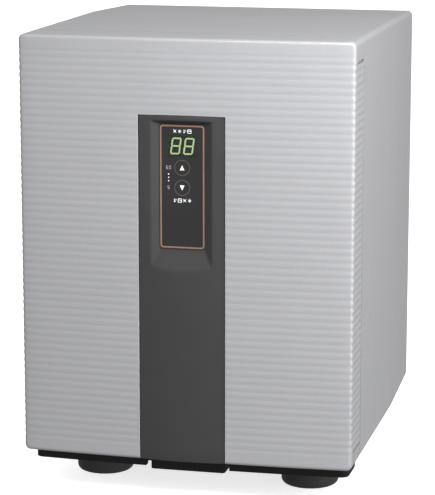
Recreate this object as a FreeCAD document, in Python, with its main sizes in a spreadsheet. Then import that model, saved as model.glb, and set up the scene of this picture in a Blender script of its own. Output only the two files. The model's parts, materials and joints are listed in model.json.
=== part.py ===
import FreeCAD, Part
import math
import os
import Sketcher

# Free-standing warm and cool storage cabinet for filament spools, in millimetres.
# Origin: on the floor, under the middle of the cabinet. +X right, -Y to the front, +Z up.
# A hinged door closes an insulated chamber. A thermoelectric module behind the chamber's
# back wall heats or cools it, with a finned sink and a fan on each side.

SIZES = {
    # the whole cabinet
    "overall_width": 310, "overall_depth": 351, "overall_height": 427,
    "ground_gap": 38, "corner_radius": 5, "rear_edge_radius": 4,
    "kink_from_back": 120.4, "rear_taper": 3.2,
    "shell_wall": 2.5, "rear_rim": 20, "rear_wall": 5, "rear_rebate": 2.5,
    # the door
    "front_bulge": 4.9, "strip_proud": 1, "door_thickness": 43.6, "seam_gap": 1.5,
    "front_edge_radius": 3, "plug_depth": 12, "plug_gap": 5, "gasket_width": 9,
    "gasket_seat": 6, "fit_gap": 0.2,
    # the chamber
    "chamber_width": 244, "chamber_height": 330, "chamber_floor": 66,
    "chamber_depth": 224.5, "liner_wall": 1.8, "strike_thickness": 0.8,
    "rail_width": 8, "rail_height": 4, "rail_pitch": 52.5, "rail_count": 5,
    "post_thickness": 1.2, "post_width": 12,
    "shelf_half_width": 117, "shelf_front_gap": 12, "shelf_length": 182,
    "frame_wire": 2, "cross_wire": 1.25, "back_foam": 20,
    # the trim strip and the controls in it
    "strip_middle": -1.7, "strip_width": 80, "strip_height": 319.5,
    "strip_radius": 290, "strip_thickness": 2, "strip_gap": 0.3,
    "recess_depth": 6, "recess_top": 315.5, "recess_length": 137.2, "recess_width": 61,
    "recess_slope": 19, "recess_side_slope": 9.5, "recess_top_slope": 3,
    "controls_height": 255, "control_width": 42, "control_height": 113,
    "line_width": 1.4, "line_frame_width": 41, "line_frame_height": 112,
    "window_width": 26.4, "window_height": 18.6, "window_rise": 37,
    "key_rise": 17.5, "key_pitch": 18.2, "key_radius": 6.3, "ring_radius": 7.2,
    "key_travel": 0.8,
    # the base
    "base_height": 10.6, "base_inset": 5.8, "base_rear_inset": 20, "base_front_depth": 15,
    "base_corner": 8, "base_step": 6.6, "base_back_gap": 8, "base_wall": 3, "base_top_gap": 1.5,
    "boss_radius": 18,
    "foot_radius": 27, "foot_side": 100.6, "foot_front": 86, "foot_rear": 115,
    "tray_middle": -0.5, "tray_width": 72, "tray_length": 112, "tray_drop": 2.6,
    "tray_height": 9, "drain_radius": 4, "drain_front": 60,
    # the hinges
    "hinge_inset": 8, "hinge_back": 22, "hinge_end": 20.5, "hinge_low_end": 15,
    "leaf_thickness": 2, "leaf_radius": 7, "hinge_slot": 2.6, "pin_radius": 3, "pin_length": 16,
    # the thermoelectric stack
    "stack_height": 270, "stack_opening": 56, "module_size": 40, "module_thickness": 3.8,
    "inner_sink": 92, "inner_fan": 80, "inner_fan_depth": 10, "cowl_size": 120,
    "outer_sink": 112, "outer_fan": 92, "outer_fan_depth": 20,
    # the temperature sensor
    "sensor_depth": 6, "sensor_back": 40, "sensor_width": 12, "sensor_rise": 20,
    "sensor_height": 24,
    # the mains side
    "inlet_side": 105, "rocker_side": 66, "mains_height": 88,
}

doc = FreeCAD.newDocument("warm_cool_cabinet")
sheet = doc.addObject("Spreadsheet::Sheet", "dims")
for row, (alias, number) in enumerate(SIZES.items(), 1):
    sheet.set(f"A{row}", alias)
    sheet.set(f"B{row}", str(number))
    sheet.setAlias(f"B{row}", alias)
doc.recompute()

# Places that several pieces share, as expressions on the sheet.
HALF = "dims.overall_width / 2"
BOTTOM = "dims.ground_gap"
TOP = "dims.overall_height"
BACK = "dims.overall_depth / 2"
CROWN = "-dims.overall_depth / 2"
DOOR_FRONT = f"({CROWN} + dims.strip_proud)"
CORNER_PLANE = f"({DOOR_FRONT} + dims.front_bulge)"
DOOR_BACK = f"({CORNER_PLANE} + dims.door_thickness)"
CABINET_FRONT = f"({DOOR_BACK} + dims.seam_gap)"
KINK = f"({BACK} - dims.kink_from_back)"
BOW_RADIUS = "((dims.overall_width / 2) ^ 2 + dims.front_bulge ^ 2) / (2 * dims.front_bulge)"
CHAMBER_HALF = "dims.chamber_width / 2"
CHAMBER_FLOOR = "dims.chamber_floor"
CHAMBER_TOP = "(dims.chamber_floor + dims.chamber_height)"
CHAMBER_BACK = f"({CABINET_FRONT} + dims.chamber_depth)"
LINER_BACK = f"({CHAMBER_BACK} + dims.liner_wall)"
FOAM_FRONT = f"({CABINET_FRONT} + dims.liner_wall + dims.strike_thickness)"
FOAM_BACK = f"({LINER_BACK} + dims.back_foam)"
BULKHEAD_BACK = f"({FOAM_BACK} + 1.2)"
STACK = "dims.stack_height"
HINGE_X = f"({HALF} - dims.hinge_inset)"
HINGE_Y = f"({DOOR_BACK} - dims.hinge_back)"
LEAF_TOP = f"({TOP} - dims.hinge_end)"
LEAF_BOTTOM = f"({BOTTOM} + dims.hinge_low_end)"
BASE_BOTTOM = f"({BOTTOM} - dims.base_height)"
BASE_FRONT = f"({CORNER_PLANE} + dims.base_front_depth)"
STRIP = "dims.strip_middle"
CONTROLS = f"({BOTTOM} + dims.controls_height)"
RECESS_FLOOR = f"({CROWN} + dims.recess_depth)"
PANEL_FACE = f"({RECESS_FLOOR} - 0.8)"
BOARD_FRONT = f"({RECESS_FLOOR} + 6.5)"

subparts = []


def size(expression):
    """The number that an expression on the sheet gives now."""
    return float(sheet.evalExpression(str(expression)))


def finish(piece, label):
    """Name a finished piece and list it for writing."""
    piece.Label = label
    subparts.append(piece)
    return piece


# ---- sketches and features inside one body ----

def new_body(label):
    return finish(doc.addObject("PartDesign::Body", label), label)


def origin_item(body, role):
    return next(item for item in body.Origin.OriginFeatures if item.Role == role)


def sketch_on(body, role, offset):
    """A sketch on an origin plane of its own body, moved along the plane's normal."""
    sketch = body.newObject("Sketcher::SketchObject", "Sketch")
    sketch.AttachmentSupport = (origin_item(body, role), [""])
    sketch.MapMode = "FlatFace"
    sketch.setExpression(".AttachmentOffset.Base.z", str(offset))
    return sketch


def front_sketch(body, y):
    """Sketch axes X and Z, in the plane at this y."""
    return sketch_on(body, "XZ_Plane", f"-({y})")


def plan_sketch(body, z):
    """Sketch axes X and Y, in the plane at this z."""
    return sketch_on(body, "XY_Plane", z)


def bind(sketch, constraints):
    """Add constraints given as (kind, references, expression)."""
    for kind, references, expression in constraints:
        number = sketch.addConstraint(Sketcher.Constraint(kind, *references, size(expression)))
        sketch.setExpression(f"Constraints[{number}]", str(expression))


def line(start, end):
    return Part.LineSegment(FreeCAD.Vector(*start, 0), FreeCAD.Vector(*end, 0))


def add_polygon(sketch, corners):
    """A closed outline through corners given as pairs of expressions."""
    first = sketch.GeometryCount
    points = [(size(across), size(up)) for across, up in corners]
    count = len(points)
    for number in range(count):
        sketch.addGeometry(line(points[number], points[(number + 1) % count]), False)
    for number in range(count):
        following = first + (number + 1) % count
        sketch.addConstraint(Sketcher.Constraint("Coincident", first + number, 2, following, 1))
    for number, (across, up) in enumerate(corners):
        bind(sketch, [("DistanceX", (-1, 1, first + number, 1), across),
                      ("DistanceY", (-1, 1, first + number, 1), up)])


def add_rectangle(sketch, left, right, low, high, radius=None):
    """A rectangle, with rounded corners where a radius is given."""
    if radius is None:
        add_polygon(sketch, [(left, low), (right, low), (right, high), (left, high)])
        return
    first = sketch.GeometryCount
    x0, x1, y0, y1, r = (size(item) for item in (left, right, low, high, radius))
    sides = [((x0 + r, y0), (x1 - r, y0)), ((x1, y0 + r), (x1, y1 - r)),
             ((x1 - r, y1), (x0 + r, y1)), ((x0, y1 - r), (x0, y0 + r))]
    centres = [(x1 - r, y0 + r), (x1 - r, y1 - r), (x0 + r, y1 - r), (x0 + r, y0 + r)]
    for start, end in sides:
        sketch.addGeometry(line(start, end), False)
    for number, centre in enumerate(centres):
        circle = Part.Circle(FreeCAD.Vector(*centre, 0), FreeCAD.Vector(0, 0, 1), r)
        turn = (number - 1) * math.pi / 2
        sketch.addGeometry(Part.ArcOfCircle(circle, turn, turn + math.pi / 2), False)
    for number in range(4):
        arc = first + 4 + number
        following = first + (number + 1) % 4
        sketch.addConstraint(Sketcher.Constraint("Tangent", first + number, 2, arc, 1))
        sketch.addConstraint(Sketcher.Constraint("Tangent", arc, 2, following, 1))
        direction = "Horizontal" if number % 2 == 0 else "Vertical"
        sketch.addConstraint(Sketcher.Constraint(direction, first + number))
    for arc in range(first + 5, first + 8):
        sketch.addConstraint(Sketcher.Constraint("Equal", arc - 1, arc))
    bind(sketch, [("Radius", (first + 4,), radius),
                  ("DistanceX", (-1, 1, first + 3, 1), left),
                  ("DistanceX", (-1, 1, first + 1, 1), right),
                  ("DistanceY", (-1, 1, first, 1), low),
                  ("DistanceY", (-1, 1, first + 2, 1), high)])


def add_circle(sketch, across, up, radius):
    centre = FreeCAD.Vector(size(across), size(up), 0)
    circle = Part.Circle(centre, FreeCAD.Vector(0, 0, 1), size(radius))
    number = sketch.addGeometry(circle, False)
    bind(sketch, [("DistanceX", (-1, 1, number, 3), across),
                  ("DistanceY", (-1, 1, number, 3), up),
                  ("Radius", (number,), radius)])


def add_bowed_outline(sketch, left, right, corner_y, back_y, radius):
    """Straight sides and back, and a front that bows towards -Y."""
    x0, x1, y0, y1 = (size(item) for item in (left, right, corner_y, back_y))
    bow = size(radius)
    sagitta = bow - math.sqrt(bow ** 2 - ((x1 - x0) / 2) ** 2)
    ends = [FreeCAD.Vector(x0, y0, 0), FreeCAD.Vector((x0 + x1) / 2, y0 - sagitta, 0),
            FreeCAD.Vector(x1, y0, 0)]
    sketch.addGeometry(Part.Arc(*ends), False)
    sketch.addGeometry(line((x1, y0), (x1, y1)), False)
    sketch.addGeometry(line((x1, y1), (x0, y1)), False)
    sketch.addGeometry(line((x0, y1), (x0, y0)), False)
    for number in range(4):
        sketch.addConstraint(Sketcher.Constraint("Coincident", number, 2, (number + 1) % 4, 1))
    sketch.addConstraint(Sketcher.Constraint("Vertical", 1))
    sketch.addConstraint(Sketcher.Constraint("Horizontal", 2))
    sketch.addConstraint(Sketcher.Constraint("Vertical", 3))
    bind(sketch, [("DistanceX", (-1, 1, 1, 1), right),
                  ("DistanceX", (-1, 1, 3, 2), left),
                  ("DistanceY", (-1, 1, 1, 1), corner_y),
                  ("DistanceY", (-1, 1, 3, 2), corner_y),
                  ("DistanceY", (-1, 1, 2, 1), back_y),
                  ("Radius", (0,), radius)])


def extrude(body, kind, sketch, length):
    """Pad or pocket a sketch towards +X, +Y or +Z, and see that it changed the body."""
    before = body.Shape.Volume if body.Shape.Solids else 0
    feature = body.newObject(f"PartDesign::{kind}", kind)
    feature.Profile = sketch
    feature.setExpression("Length", str(length))
    on_front_plane = sketch.AttachmentSupport[0][0].Role == "XZ_Plane"
    feature.Reversed = (kind == "Pad") == on_front_plane
    doc.recompute()
    if abs(body.Shape.Volume - before) < 1e-3:
        raise RuntimeError(f"{feature.Label} of {body.Label} changed nothing")
    return feature


def pad(body, sketch, length):
    return extrude(body, "Pad", sketch, length)


def pocket(body, sketch, length):
    return extrude(body, "Pocket", sketch, length)


def block(body, kind, x, y, z):
    """Pad or pocket a box given by three (low, high) pairs of expressions."""
    sketch = front_sketch(body, y[0])
    add_rectangle(sketch, x[0], x[1], z[0], z[1])
    return extrude(body, kind, sketch, f"({y[1]}) - ({y[0]})")


def loft(body, kind, profile, section):
    feature = body.newObject(f"PartDesign::{kind}", kind)
    feature.Profile = profile
    feature.Sections = [section]
    feature.Ruled = True
    doc.recompute()
    return feature


def fillet(body, radius, chosen):
    """Round the edges of the body's tip that the test picks."""
    base = body.Tip
    names = [f"Edge{number}" for number, edge in enumerate(base.Shape.Edges, 1) if chosen(edge)]
    feature = body.newObject("PartDesign::Fillet", "Fillet")
    feature.Base = (base, names)
    feature.setExpression("Radius", str(radius))
    doc.recompute()
    return feature


def repeat(body, feature, axis, step, count):
    """Repeat one feature along an axis of its body."""
    pattern = body.newObject("PartDesign::LinearPattern", "LinearPattern")
    pattern.Originals = [feature]
    pattern.Direction = (origin_item(body, axis), [""])
    pattern.setExpression("Length", f"({step}) * ({count} - 1)")
    pattern.setExpression("Occurrences", str(count))
    body.Tip = pattern
    doc.recompute()
    return pattern


def along(edge, axis):
    """True for a straight edge parallel to an axis given as 0, 1 or 2."""
    if edge.Curve.TypeId != "Part::GeomLine":
        return False
    return abs(abs(tuple(edge.Curve.Direction)[axis]) - 1) < 1e-6


# ---- primitives ----

def box(x, y, z, label="box"):
    """A Part box from three (low, high) pairs of expressions."""
    piece = doc.addObject("Part::Box", label)
    for side, base, (low, high) in zip(("Length", "Width", "Height"), "xyz", (x, y, z)):
        piece.setExpression(side, f"({high}) - ({low})")
        piece.setExpression(f".Placement.Base.{base}", str(low))
    return piece


def rod(axis, centre, span, radius, label="rod"):
    """A Part cylinder along x, y or z; centre holds the other two coordinates in order."""
    piece = doc.addObject("Part::Cylinder", label)
    low, high = span
    turns = {"x": (FreeCAD.Vector(0, 1, 0), 90), "y": (FreeCAD.Vector(1, 0, 0), -90),
             "z": (FreeCAD.Vector(0, 0, 1), 0)}
    piece.Placement = FreeCAD.Placement(FreeCAD.Vector(), FreeCAD.Rotation(*turns[axis]))
    others = [item for item in "xyz" if item != axis]
    piece.setExpression("Radius", str(radius))
    piece.setExpression("Height", f"({high}) - ({low})")
    piece.setExpression(f".Placement.Base.{axis}", str(low))
    for base, place in zip(others, centre):
        piece.setExpression(f".Placement.Base.{base}", str(place))
    return piece


def fuse(pieces, label="fused"):
    piece = doc.addObject("Part::MultiFuse", label)
    piece.Shapes = pieces
    return piece


def cut(base, tool, label="cut"):
    piece = doc.addObject("Part::Cut", label)
    piece.Base = base
    piece.Tool = tool
    return piece


def group(pieces, label):
    """Identical pieces that share one node as separate solids."""
    piece = doc.addObject("Part::Compound", label)
    piece.Links = pieces
    return finish(piece, label)


# ---- the cabinet's shells ----

def inset_outline(sketch, inset, radius_loss):
    """The cabinet's front view outline, moved in on all four sides."""
    add_rectangle(sketch, f"-{HALF} + {inset}", f"{HALF} - ({inset})",
                  f"{BOTTOM} + {inset}", f"{TOP} - ({inset})",
                  f"dims.corner_radius - ({radius_loss})")


def taper_at(y):
    """How far the tapered rear half has closed in at this y."""
    return f"dims.rear_taper * (({y}) - {KINK}) / dims.kink_from_back"


def tapered_block(body, front, back, wall):
    """A block with the cabinet's outline: straight to the kink, then closing in."""
    sketch = front_sketch(body, front)
    inset_outline(sketch, wall, wall)
    pad(body, sketch, f"{KINK} - ({front})")
    ends = []
    for y in (KINK, back):
        sketch = front_sketch(body, y)
        inset_outline(sketch, f"({wall} + {taper_at(y)})", wall)
        ends.append(sketch)
    loft(body, "AdditiveLoft", *ends)


def make_outer_shell():
    body = new_body("outer_shell")
    tapered_block(body, CABINET_FRONT, BACK, "0")
    rear = size(BACK)
    fillet(body, "dims.rear_edge_radius", lambda edge: edge.BoundBox.YMin > rear - 0.01)
    sketch = front_sketch(body, CABINET_FRONT)
    inset_outline(sketch, "dims.shell_wall", "dims.shell_wall")
    pocket(body, sketch, f"{KINK} - {CABINET_FRONT}")
    ends = []
    for y in (KINK, f"({BACK} - dims.rear_wall)"):
        sketch = front_sketch(body, y)
        inset_outline(sketch, f"(dims.shell_wall + {taper_at(y)})", "dims.shell_wall")
        ends.append(sketch)
    loft(body, "SubtractiveLoft", *ends)
    # the rebate that the rear cover drops into, and the opening inside it
    for rim, start in (("dims.rear_rim", f"{BACK} - dims.rear_rebate"),
                       ("(dims.rear_rim + 6)", f"{BACK} - dims.rear_wall")):
        block(body, "Pocket", (f"-{HALF} + {rim}", f"{HALF} - {rim}"), (start, BACK),
              (f"{BOTTOM} + {rim}", f"{TOP} - {rim}"))
    sketch = front_sketch(body, f"{BACK} - dims.rear_wall - 1")
    for x, z in cover_screw_places():
        add_circle(sketch, x, z, "1.75")
    pocket(body, sketch, "dims.rear_wall")
    sketch = plan_sketch(body, BOTTOM)
    add_circle(sketch, "dims.tray_middle", "-dims.drain_front", "dims.drain_radius + 0.1")
    pocket(body, sketch, "dims.shell_wall")


def add_mouth(sketch, out):
    """The chamber's rounded outline, moved outwards."""
    add_rectangle(sketch, f"-{CHAMBER_HALF} - {out}", f"{CHAMBER_HALF} + {out}",
                  f"{CHAMBER_FLOOR} - {out}", f"{CHAMBER_TOP} + {out}", f"6 + {out}")


def make_front_frame():
    """The flat face round the chamber's mouth, which the door's gasket closes on."""
    body = new_body("front_frame")
    wall = "dims.liner_wall"
    sketch = front_sketch(body, CABINET_FRONT)
    inset_outline(sketch, "(dims.shell_wall + dims.fit_gap)", "(dims.shell_wall + dims.fit_gap)")
    pad(body, sketch, wall)
    sketch = front_sketch(body, CABINET_FRONT)
    add_mouth(sketch, wall)
    pocket(body, sketch, wall)
    # openings for the hinge leaves and their screws
    for leaf in (LEAF_TOP, LEAF_BOTTOM):
        block(body, "Pocket", (f"{HINGE_X} - dims.leaf_radius - 0.5", f"{HINGE_X} + 5.8"),
              (f"{CABINET_FRONT} - 1", f"{CABINET_FRONT} + {wall} + 1"),
              (f"{leaf} - 0.5", f"{leaf} + dims.leaf_thickness + 0.5"))
        add_screw_holes(body, leaf, f"{CABINET_FRONT} - 1", f"{wall} + 2", "2.05")


def make_inner_liner():
    body = new_body("inner_liner")
    wall = "dims.liner_wall"
    sketch = front_sketch(body, CABINET_FRONT)
    add_mouth(sketch, wall)
    pad(body, sketch, f"dims.chamber_depth + {wall}")
    sketch = front_sketch(body, CABINET_FRONT)
    add_mouth(sketch, "0")
    pocket(body, sketch, "dims.chamber_depth")
    # openings for the thermoelectric stack and the drain
    half = "dims.stack_opening / 2"
    block(body, "Pocket", (f"-{half}", half), (f"{CHAMBER_BACK} - 1", f"{LINER_BACK} + 1"),
          (f"{STACK} - {half}", f"{STACK} + {half}"))
    sketch = plan_sketch(body, f"{CHAMBER_FLOOR} - {wall} - 1")
    add_circle(sketch, "dims.tray_middle", "-dims.drain_front", "dims.drain_radius + 0.05")
    pocket(body, sketch, f"{wall} + 2")


def make_shelf_rails(name, sign):
    """A ladder of ledges on one side wall: five rails joined by a post at each end."""
    body = new_body(f"shelf_rails_{name}")
    wall_face = f"{sign}({CHAMBER_HALF})"
    front = f"({CABINET_FRONT} + dims.plug_depth)"
    back = f"({front} + dims.shelf_length + 2)"
    low = f"({CHAMBER_FLOOR} + dims.rail_pitch - dims.rail_height)"
    sketch = front_sketch(body, front)
    inner = f"{sign}({CHAMBER_HALF} - dims.rail_width)"
    add_rectangle(sketch, *sorted((inner, wall_face), key=size), low, f"{low} + dims.rail_height")
    rails = pad(body, sketch, f"{back} - {front}")
    repeat(body, rails, "Z_Axis", "dims.rail_pitch", "dims.rail_count")
    post_face = f"{sign}({CHAMBER_HALF} - dims.post_thickness)"
    across = sorted((post_face, wall_face), key=size)
    top = f"{low} + (dims.rail_count - 1) * dims.rail_pitch + dims.rail_height"
    for start in (front, f"({back} - dims.post_width)"):
        block(body, "Pad", across, (start, f"{start} + dims.post_width"), (low, top))


def hinge_screw_heights(leaf):
    """Each leaf is held by two screws, on the door's middle side of the leaf."""
    if leaf == LEAF_TOP:
        return [f"({leaf} - 12)", f"({leaf} - 32)"]
    return [f"({leaf} + 14)", f"({leaf} + 34)"]


def add_screw_holes(body, leaf, start, length, radius):
    sketch = front_sketch(body, start)
    for height in hinge_screw_heights(leaf):
        add_circle(sketch, HINGE_X, height, radius)
    pocket(body, sketch, length)


def plate_height(leaf):
    """The hinge bracket's upright leaf, from its lower to its upper end."""
    if leaf == LEAF_TOP:
        return f"({leaf} - 40)", f"({leaf} + dims.leaf_thickness)"
    return leaf, f"({leaf} + 42)"


def make_insulation_foam():
    body = new_body("insulation_foam")
    tapered_block(body, FOAM_FRONT, FOAM_BACK, "dims.shell_wall")
    wall = "dims.liner_wall"
    sketch = front_sketch(body, FOAM_FRONT)
    add_rectangle(sketch, f"-{CHAMBER_HALF} - {wall}", f"{CHAMBER_HALF} + {wall}",
                  f"{CHAMBER_FLOOR} - {wall}", f"{CHAMBER_TOP} + {wall}", f"6 + {wall}")
    pocket(body, sketch, f"{LINER_BACK} - {FOAM_FRONT}")
    half = "dims.stack_opening / 2"
    block(body, "Pocket", (f"-{half}", half), (f"{LINER_BACK} - 1", f"{FOAM_BACK} + 1"),
          (f"{STACK} - {half}", f"{STACK} + {half}"))
    sketch = plan_sketch(body, f"{BOTTOM} + dims.shell_wall - 1")
    add_circle(sketch, "dims.tray_middle", "-dims.drain_front", "dims.drain_radius + 0.1")
    pocket(body, sketch, f"{CHAMBER_FLOOR} - {BOTTOM}")
    for leaf in (LEAF_TOP, LEAF_BOTTOM):
        low, high = plate_height(leaf)
        block(body, "Pocket", (f"{HINGE_X} - 20", f"{HINGE_X} + 5.6"),
              (f"{FOAM_FRONT} - 1", f"{FOAM_FRONT} + 4"), (f"{low} - 0.5", f"{high} + 0.5"))


def make_strike_frame():
    body = new_body("strike_frame")
    sketch = front_sketch(body, f"{CABINET_FRONT} + dims.liner_wall")
    for edge in ("14", "3"):
        add_rectangle(sketch, f"-{CHAMBER_HALF} - {edge}", f"{CHAMBER_HALF} + {edge}",
                      f"{CHAMBER_FLOOR} - {edge}", f"{CHAMBER_TOP} + {edge}", f"6 + {edge}")
    pad(body, sketch, "dims.strike_thickness")


# ---- the base, its feet and the condensate tray ----

def foot_places():
    rows = {"front": "-dims.foot_front", "rear": "dims.foot_rear"}
    sides = {"left": "-dims.foot_side", "right": "dims.foot_side"}
    return {f"{row}_{side}": (x, y) for row, y in rows.items() for side, x in sides.items()}


def make_base_pan():
    """A shallow pan: a wide bowed plinth under the door, and a narrower pan behind it."""
    body = new_body("base_pan")
    wall = "dims.base_wall"
    front_half = f"({HALF} - dims.base_inset)"
    rear_half = f"({HALF} - dims.base_rear_inset)"
    step = f"({CABINET_FRONT} + dims.base_step)"
    rear = f"({BACK} - dims.base_back_gap)"
    sketch = plan_sketch(body, BASE_BOTTOM)
    add_bowed_outline(sketch, f"-{front_half}", front_half, BASE_FRONT, step, BOW_RADIUS)
    pad(body, sketch, "dims.base_height")
    block(body, "Pad", (f"-{rear_half}", rear_half), (f"{step} - 1", rear), (BASE_BOTTOM, BOTTOM))
    # round the two front and the two rear corners, and leave the step between them square
    clear = size("dims.base_corner")
    front_limit, rear_limit = size(BASE_FRONT) + clear, size(rear) - clear
    fillet(body, "dims.base_corner", lambda edge: along(edge, 2) and not (
        front_limit < edge.BoundBox.Center.y < rear_limit))
    for half, end in ((front_half, step), (rear_half, rear)):
        sketch = plan_sketch(body, f"{BASE_BOTTOM} - 1")
        add_rectangle(sketch, f"-{half} + {wall}", f"{half} - {wall}", f"{BASE_FRONT} + {wall}",
                      f"{end} - {wall}", f"dims.base_corner - {wall}")
        pocket(body, sketch, f"dims.base_height - {wall} + 1")
    # the top is lower under the swinging door
    block(body, "Pocket", (f"-{HALF}", HALF), (f"{BASE_FRONT} - 20", f"{CABINET_FRONT} - 0.5"),
          (f"{BOTTOM} - dims.base_top_gap", f"{BOTTOM} + 1"))
    # bosses over the feet, drilled for the foot screws
    deck = f"({BOTTOM} - dims.base_wall)"
    sketch = plan_sketch(body, BASE_BOTTOM)
    for x, y in foot_places().values():
        add_circle(sketch, x, y, "dims.boss_radius")
        add_circle(sketch, x, y, "2.15")
    pad(body, sketch, f"{deck} - {BASE_BOTTOM}")
    flange = f"({BASE_BOTTOM} - dims.tray_drop + dims.tray_height)"
    # the mouth that the tray comes out of, and the drain hole
    half = "(dims.tray_width / 2 + 3.6)"
    block(body, "Pocket", (f"dims.tray_middle - {half}", f"dims.tray_middle + {half}"),
          (f"{BASE_FRONT} - 10", f"{BASE_FRONT} + 5"), (f"{BASE_BOTTOM} - 1", f"{flange} + 0.5"))
    sketch = plan_sketch(body, f"{deck} - 1")
    add_circle(sketch, "dims.tray_middle", "-dims.drain_front", "dims.drain_radius + 0.1")
    pocket(body, sketch, "dims.base_wall + 2")


def make_tray_runners():
    """Two channels under the deck that carry the tray's side flanges."""
    body = new_body("tray_runners")
    deck = f"({BOTTOM} - dims.base_wall)"
    flange = f"({BASE_BOTTOM} - dims.tray_drop + dims.tray_height)"
    sketch = front_sketch(body, f"{BASE_FRONT} + 6")
    for sign in ("-", "+"):
        wide = f"dims.tray_middle {sign} (dims.tray_width / 2 - 0.3)"
        add_polygon(sketch, [(wide, f"{flange} - 3.5"), (f"{wide} {sign} 5.3", f"{flange} - 3.5"),
                             (f"{wide} {sign} 5.3", deck), (f"{wide} {sign} 3.8", deck),
                             (f"{wide} {sign} 3.8", f"{flange} - 1.8"),
                             (wide, f"{flange} - 1.8")])
    pad(body, sketch, "dims.tray_length - 12")


def make_drip_tray():
    body = new_body("drip_tray")
    low = f"({BASE_BOTTOM} - dims.tray_drop)"
    high = f"({low} + dims.tray_height)"
    front = f"({BASE_FRONT} - dims.front_bulge + 0.5)"
    back = f"({front} + dims.tray_length)"
    half = "(dims.tray_width / 2 - 0.8)"
    middle = "dims.tray_middle"
    block(body, "Pad", (f"{middle} - {half}", f"{middle} + {half}"), (front, back), (low, high))
    block(body, "Pad", (f"{middle} - {half} - 3.6", f"{middle} + {half} + 3.6"), (front, back),
          (f"{high} - 1.5", high))
    fillet(body, "3", lambda edge: along(edge, 2) and edge.BoundBox.ZMax < size(high) - 1)
    block(body, "Pocket", (f"{middle} - {half} + 1.6", f"{middle} + {half} - 1.6"),
          (f"{front} + 1.6", f"{back} - 1.6"), (f"{low} + 1.6", f"{high} + 1"))


def make_foot(name, x, y):
    body = new_body(f"foot_{name}")
    sketch = front_sketch(body, "0")
    edge = 5
    radius = size("dims.foot_radius")
    height = size(BASE_BOTTOM)
    bore, head, seat = 2.2, 6.5, 12
    outline = [(head, 0), (radius - edge, 0), (radius, edge), (radius, height), (bore, height),
               (bore, seat), (head, seat)]
    count = len(outline)
    for number in range(count):
        start, end = outline[number], outline[(number + 1) % count]
        if number == 1:
            centre = FreeCAD.Vector(radius - edge, edge, 0)
            circle = Part.Circle(centre, FreeCAD.Vector(0, 0, 1), edge)
            sketch.addGeometry(Part.ArcOfCircle(circle, -math.pi / 2, 0), False)
        else:
            sketch.addGeometry(line(start, end), False)
    for number in range(count):
        following = (number + 1) % count
        sketch.addConstraint(Sketcher.Constraint("Coincident", number, 2, following, 1))
    bind(sketch, [("DistanceX", (-1, 1, 2, 1), "dims.foot_radius"),
                  ("DistanceY", (-1, 1, 3, 1), BASE_BOTTOM)])
    turn = body.newObject("PartDesign::Revolution", "Revolution")
    turn.Profile = sketch
    turn.ReferenceAxis = (sketch, ["V_Axis"])
    turn.Angle = 360
    body.setExpression(".Placement.Base.x", x)
    body.setExpression(".Placement.Base.y", y)


def make_base():
    make_base_pan()
    make_tray_runners()
    make_drip_tray()
    screws = []
    for name, (x, y) in foot_places().items():
        make_foot(name, x, y)
        head = rod("z", (x, y), ("8.6", "12"), "4.5")
        shank = rod("z", (x, y), ("11", f"{BASE_BOTTOM} + 7"), "2.1")
        screws.append(fuse([head, shank]))
    group(screws, "foot_screws")
    outer = rod("z", ("dims.tray_middle", "-dims.drain_front"),
                (f"{BASE_BOTTOM} - dims.tray_drop + dims.tray_height + 1", CHAMBER_FLOOR),
                "dims.drain_radius")
    bore = rod("z", ("dims.tray_middle", "-dims.drain_front"), ("0", TOP),
               "dims.drain_radius - 1")
    finish(cut(outer, bore, "drain_tube"), "drain_tube")


# ---- hinges ----

def make_hinge(side, leaf):
    """A leaf bent from steel strip, with its bearing; the pin is returned for its group."""
    thick = "dims.leaf_thickness"
    low, high = plate_height(leaf)
    ear = box((f"{HINGE_X} - dims.leaf_radius", f"{HINGE_X} + 5.3"),
              (HINGE_Y, f"{FOAM_FRONT} + {thick}"), (leaf, f"{leaf} + {thick}"))
    nose = rod("z", (HINGE_X, HINGE_Y), (leaf, f"{leaf} + {thick}"), "dims.leaf_radius")
    upright = box((f"{HINGE_X} - 19", f"{HINGE_X} + 5.3"),
                  (FOAM_FRONT, f"{FOAM_FRONT} + {thick}"), (low, high))
    holes = [rod("z", (HINGE_X, HINGE_Y), (f"{leaf} - 1", f"{leaf} + {thick} + 1"),
                 "dims.pin_radius")]
    for height in hinge_screw_heights(leaf):
        holes.append(rod("y", (HINGE_X, height), (f"{FOAM_FRONT} - 1", f"{FOAM_FRONT} + 4"),
                         "2.05"))
    name = f"hinge_bracket_{side}"
    finish(cut(fuse([ear, nose, upright]), fuse(holes), name), name)
    if leaf == LEAF_TOP:
        pin = (f"{leaf} + {thick} - dims.pin_length", f"{leaf} + {thick}")
        bearing = (f"{leaf} - 12", f"{leaf} - 0.15")
    else:
        pin = (leaf, f"{leaf} + dims.pin_length")
        bearing = (f"{leaf} + {thick} + 0.15", f"{leaf} + {thick} + 12")
    shell = box((f"{HINGE_X} - 7", f"{HINGE_X} + 4.5"), (f"{HINGE_Y} - 8", f"{HINGE_Y} + 8"),
                bearing)
    bore = rod("z", (HINGE_X, HINGE_Y), ("0", TOP), "dims.pin_radius + 0.05")
    name = f"hinge_bearing_{side}"
    finish(cut(shell, bore, name), name)
    return rod("z", (HINGE_X, HINGE_Y), pin, "dims.pin_radius - 0.01")


def make_hinges():
    pins, screws = [], []
    for side, leaf in (("top", LEAF_TOP), ("bottom", LEAF_BOTTOM)):
        pins.append(make_hinge(side, leaf))
        for height in hinge_screw_heights(leaf):
            shank = rod("y", (HINGE_X, height), (f"{CABINET_FRONT}", f"{FOAM_FRONT} + 3.5"), "2")
            screws.append(shank)
    group(pins, "hinge_pins")
    group(screws, "hinge_screws")


# ---- the door ----

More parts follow.
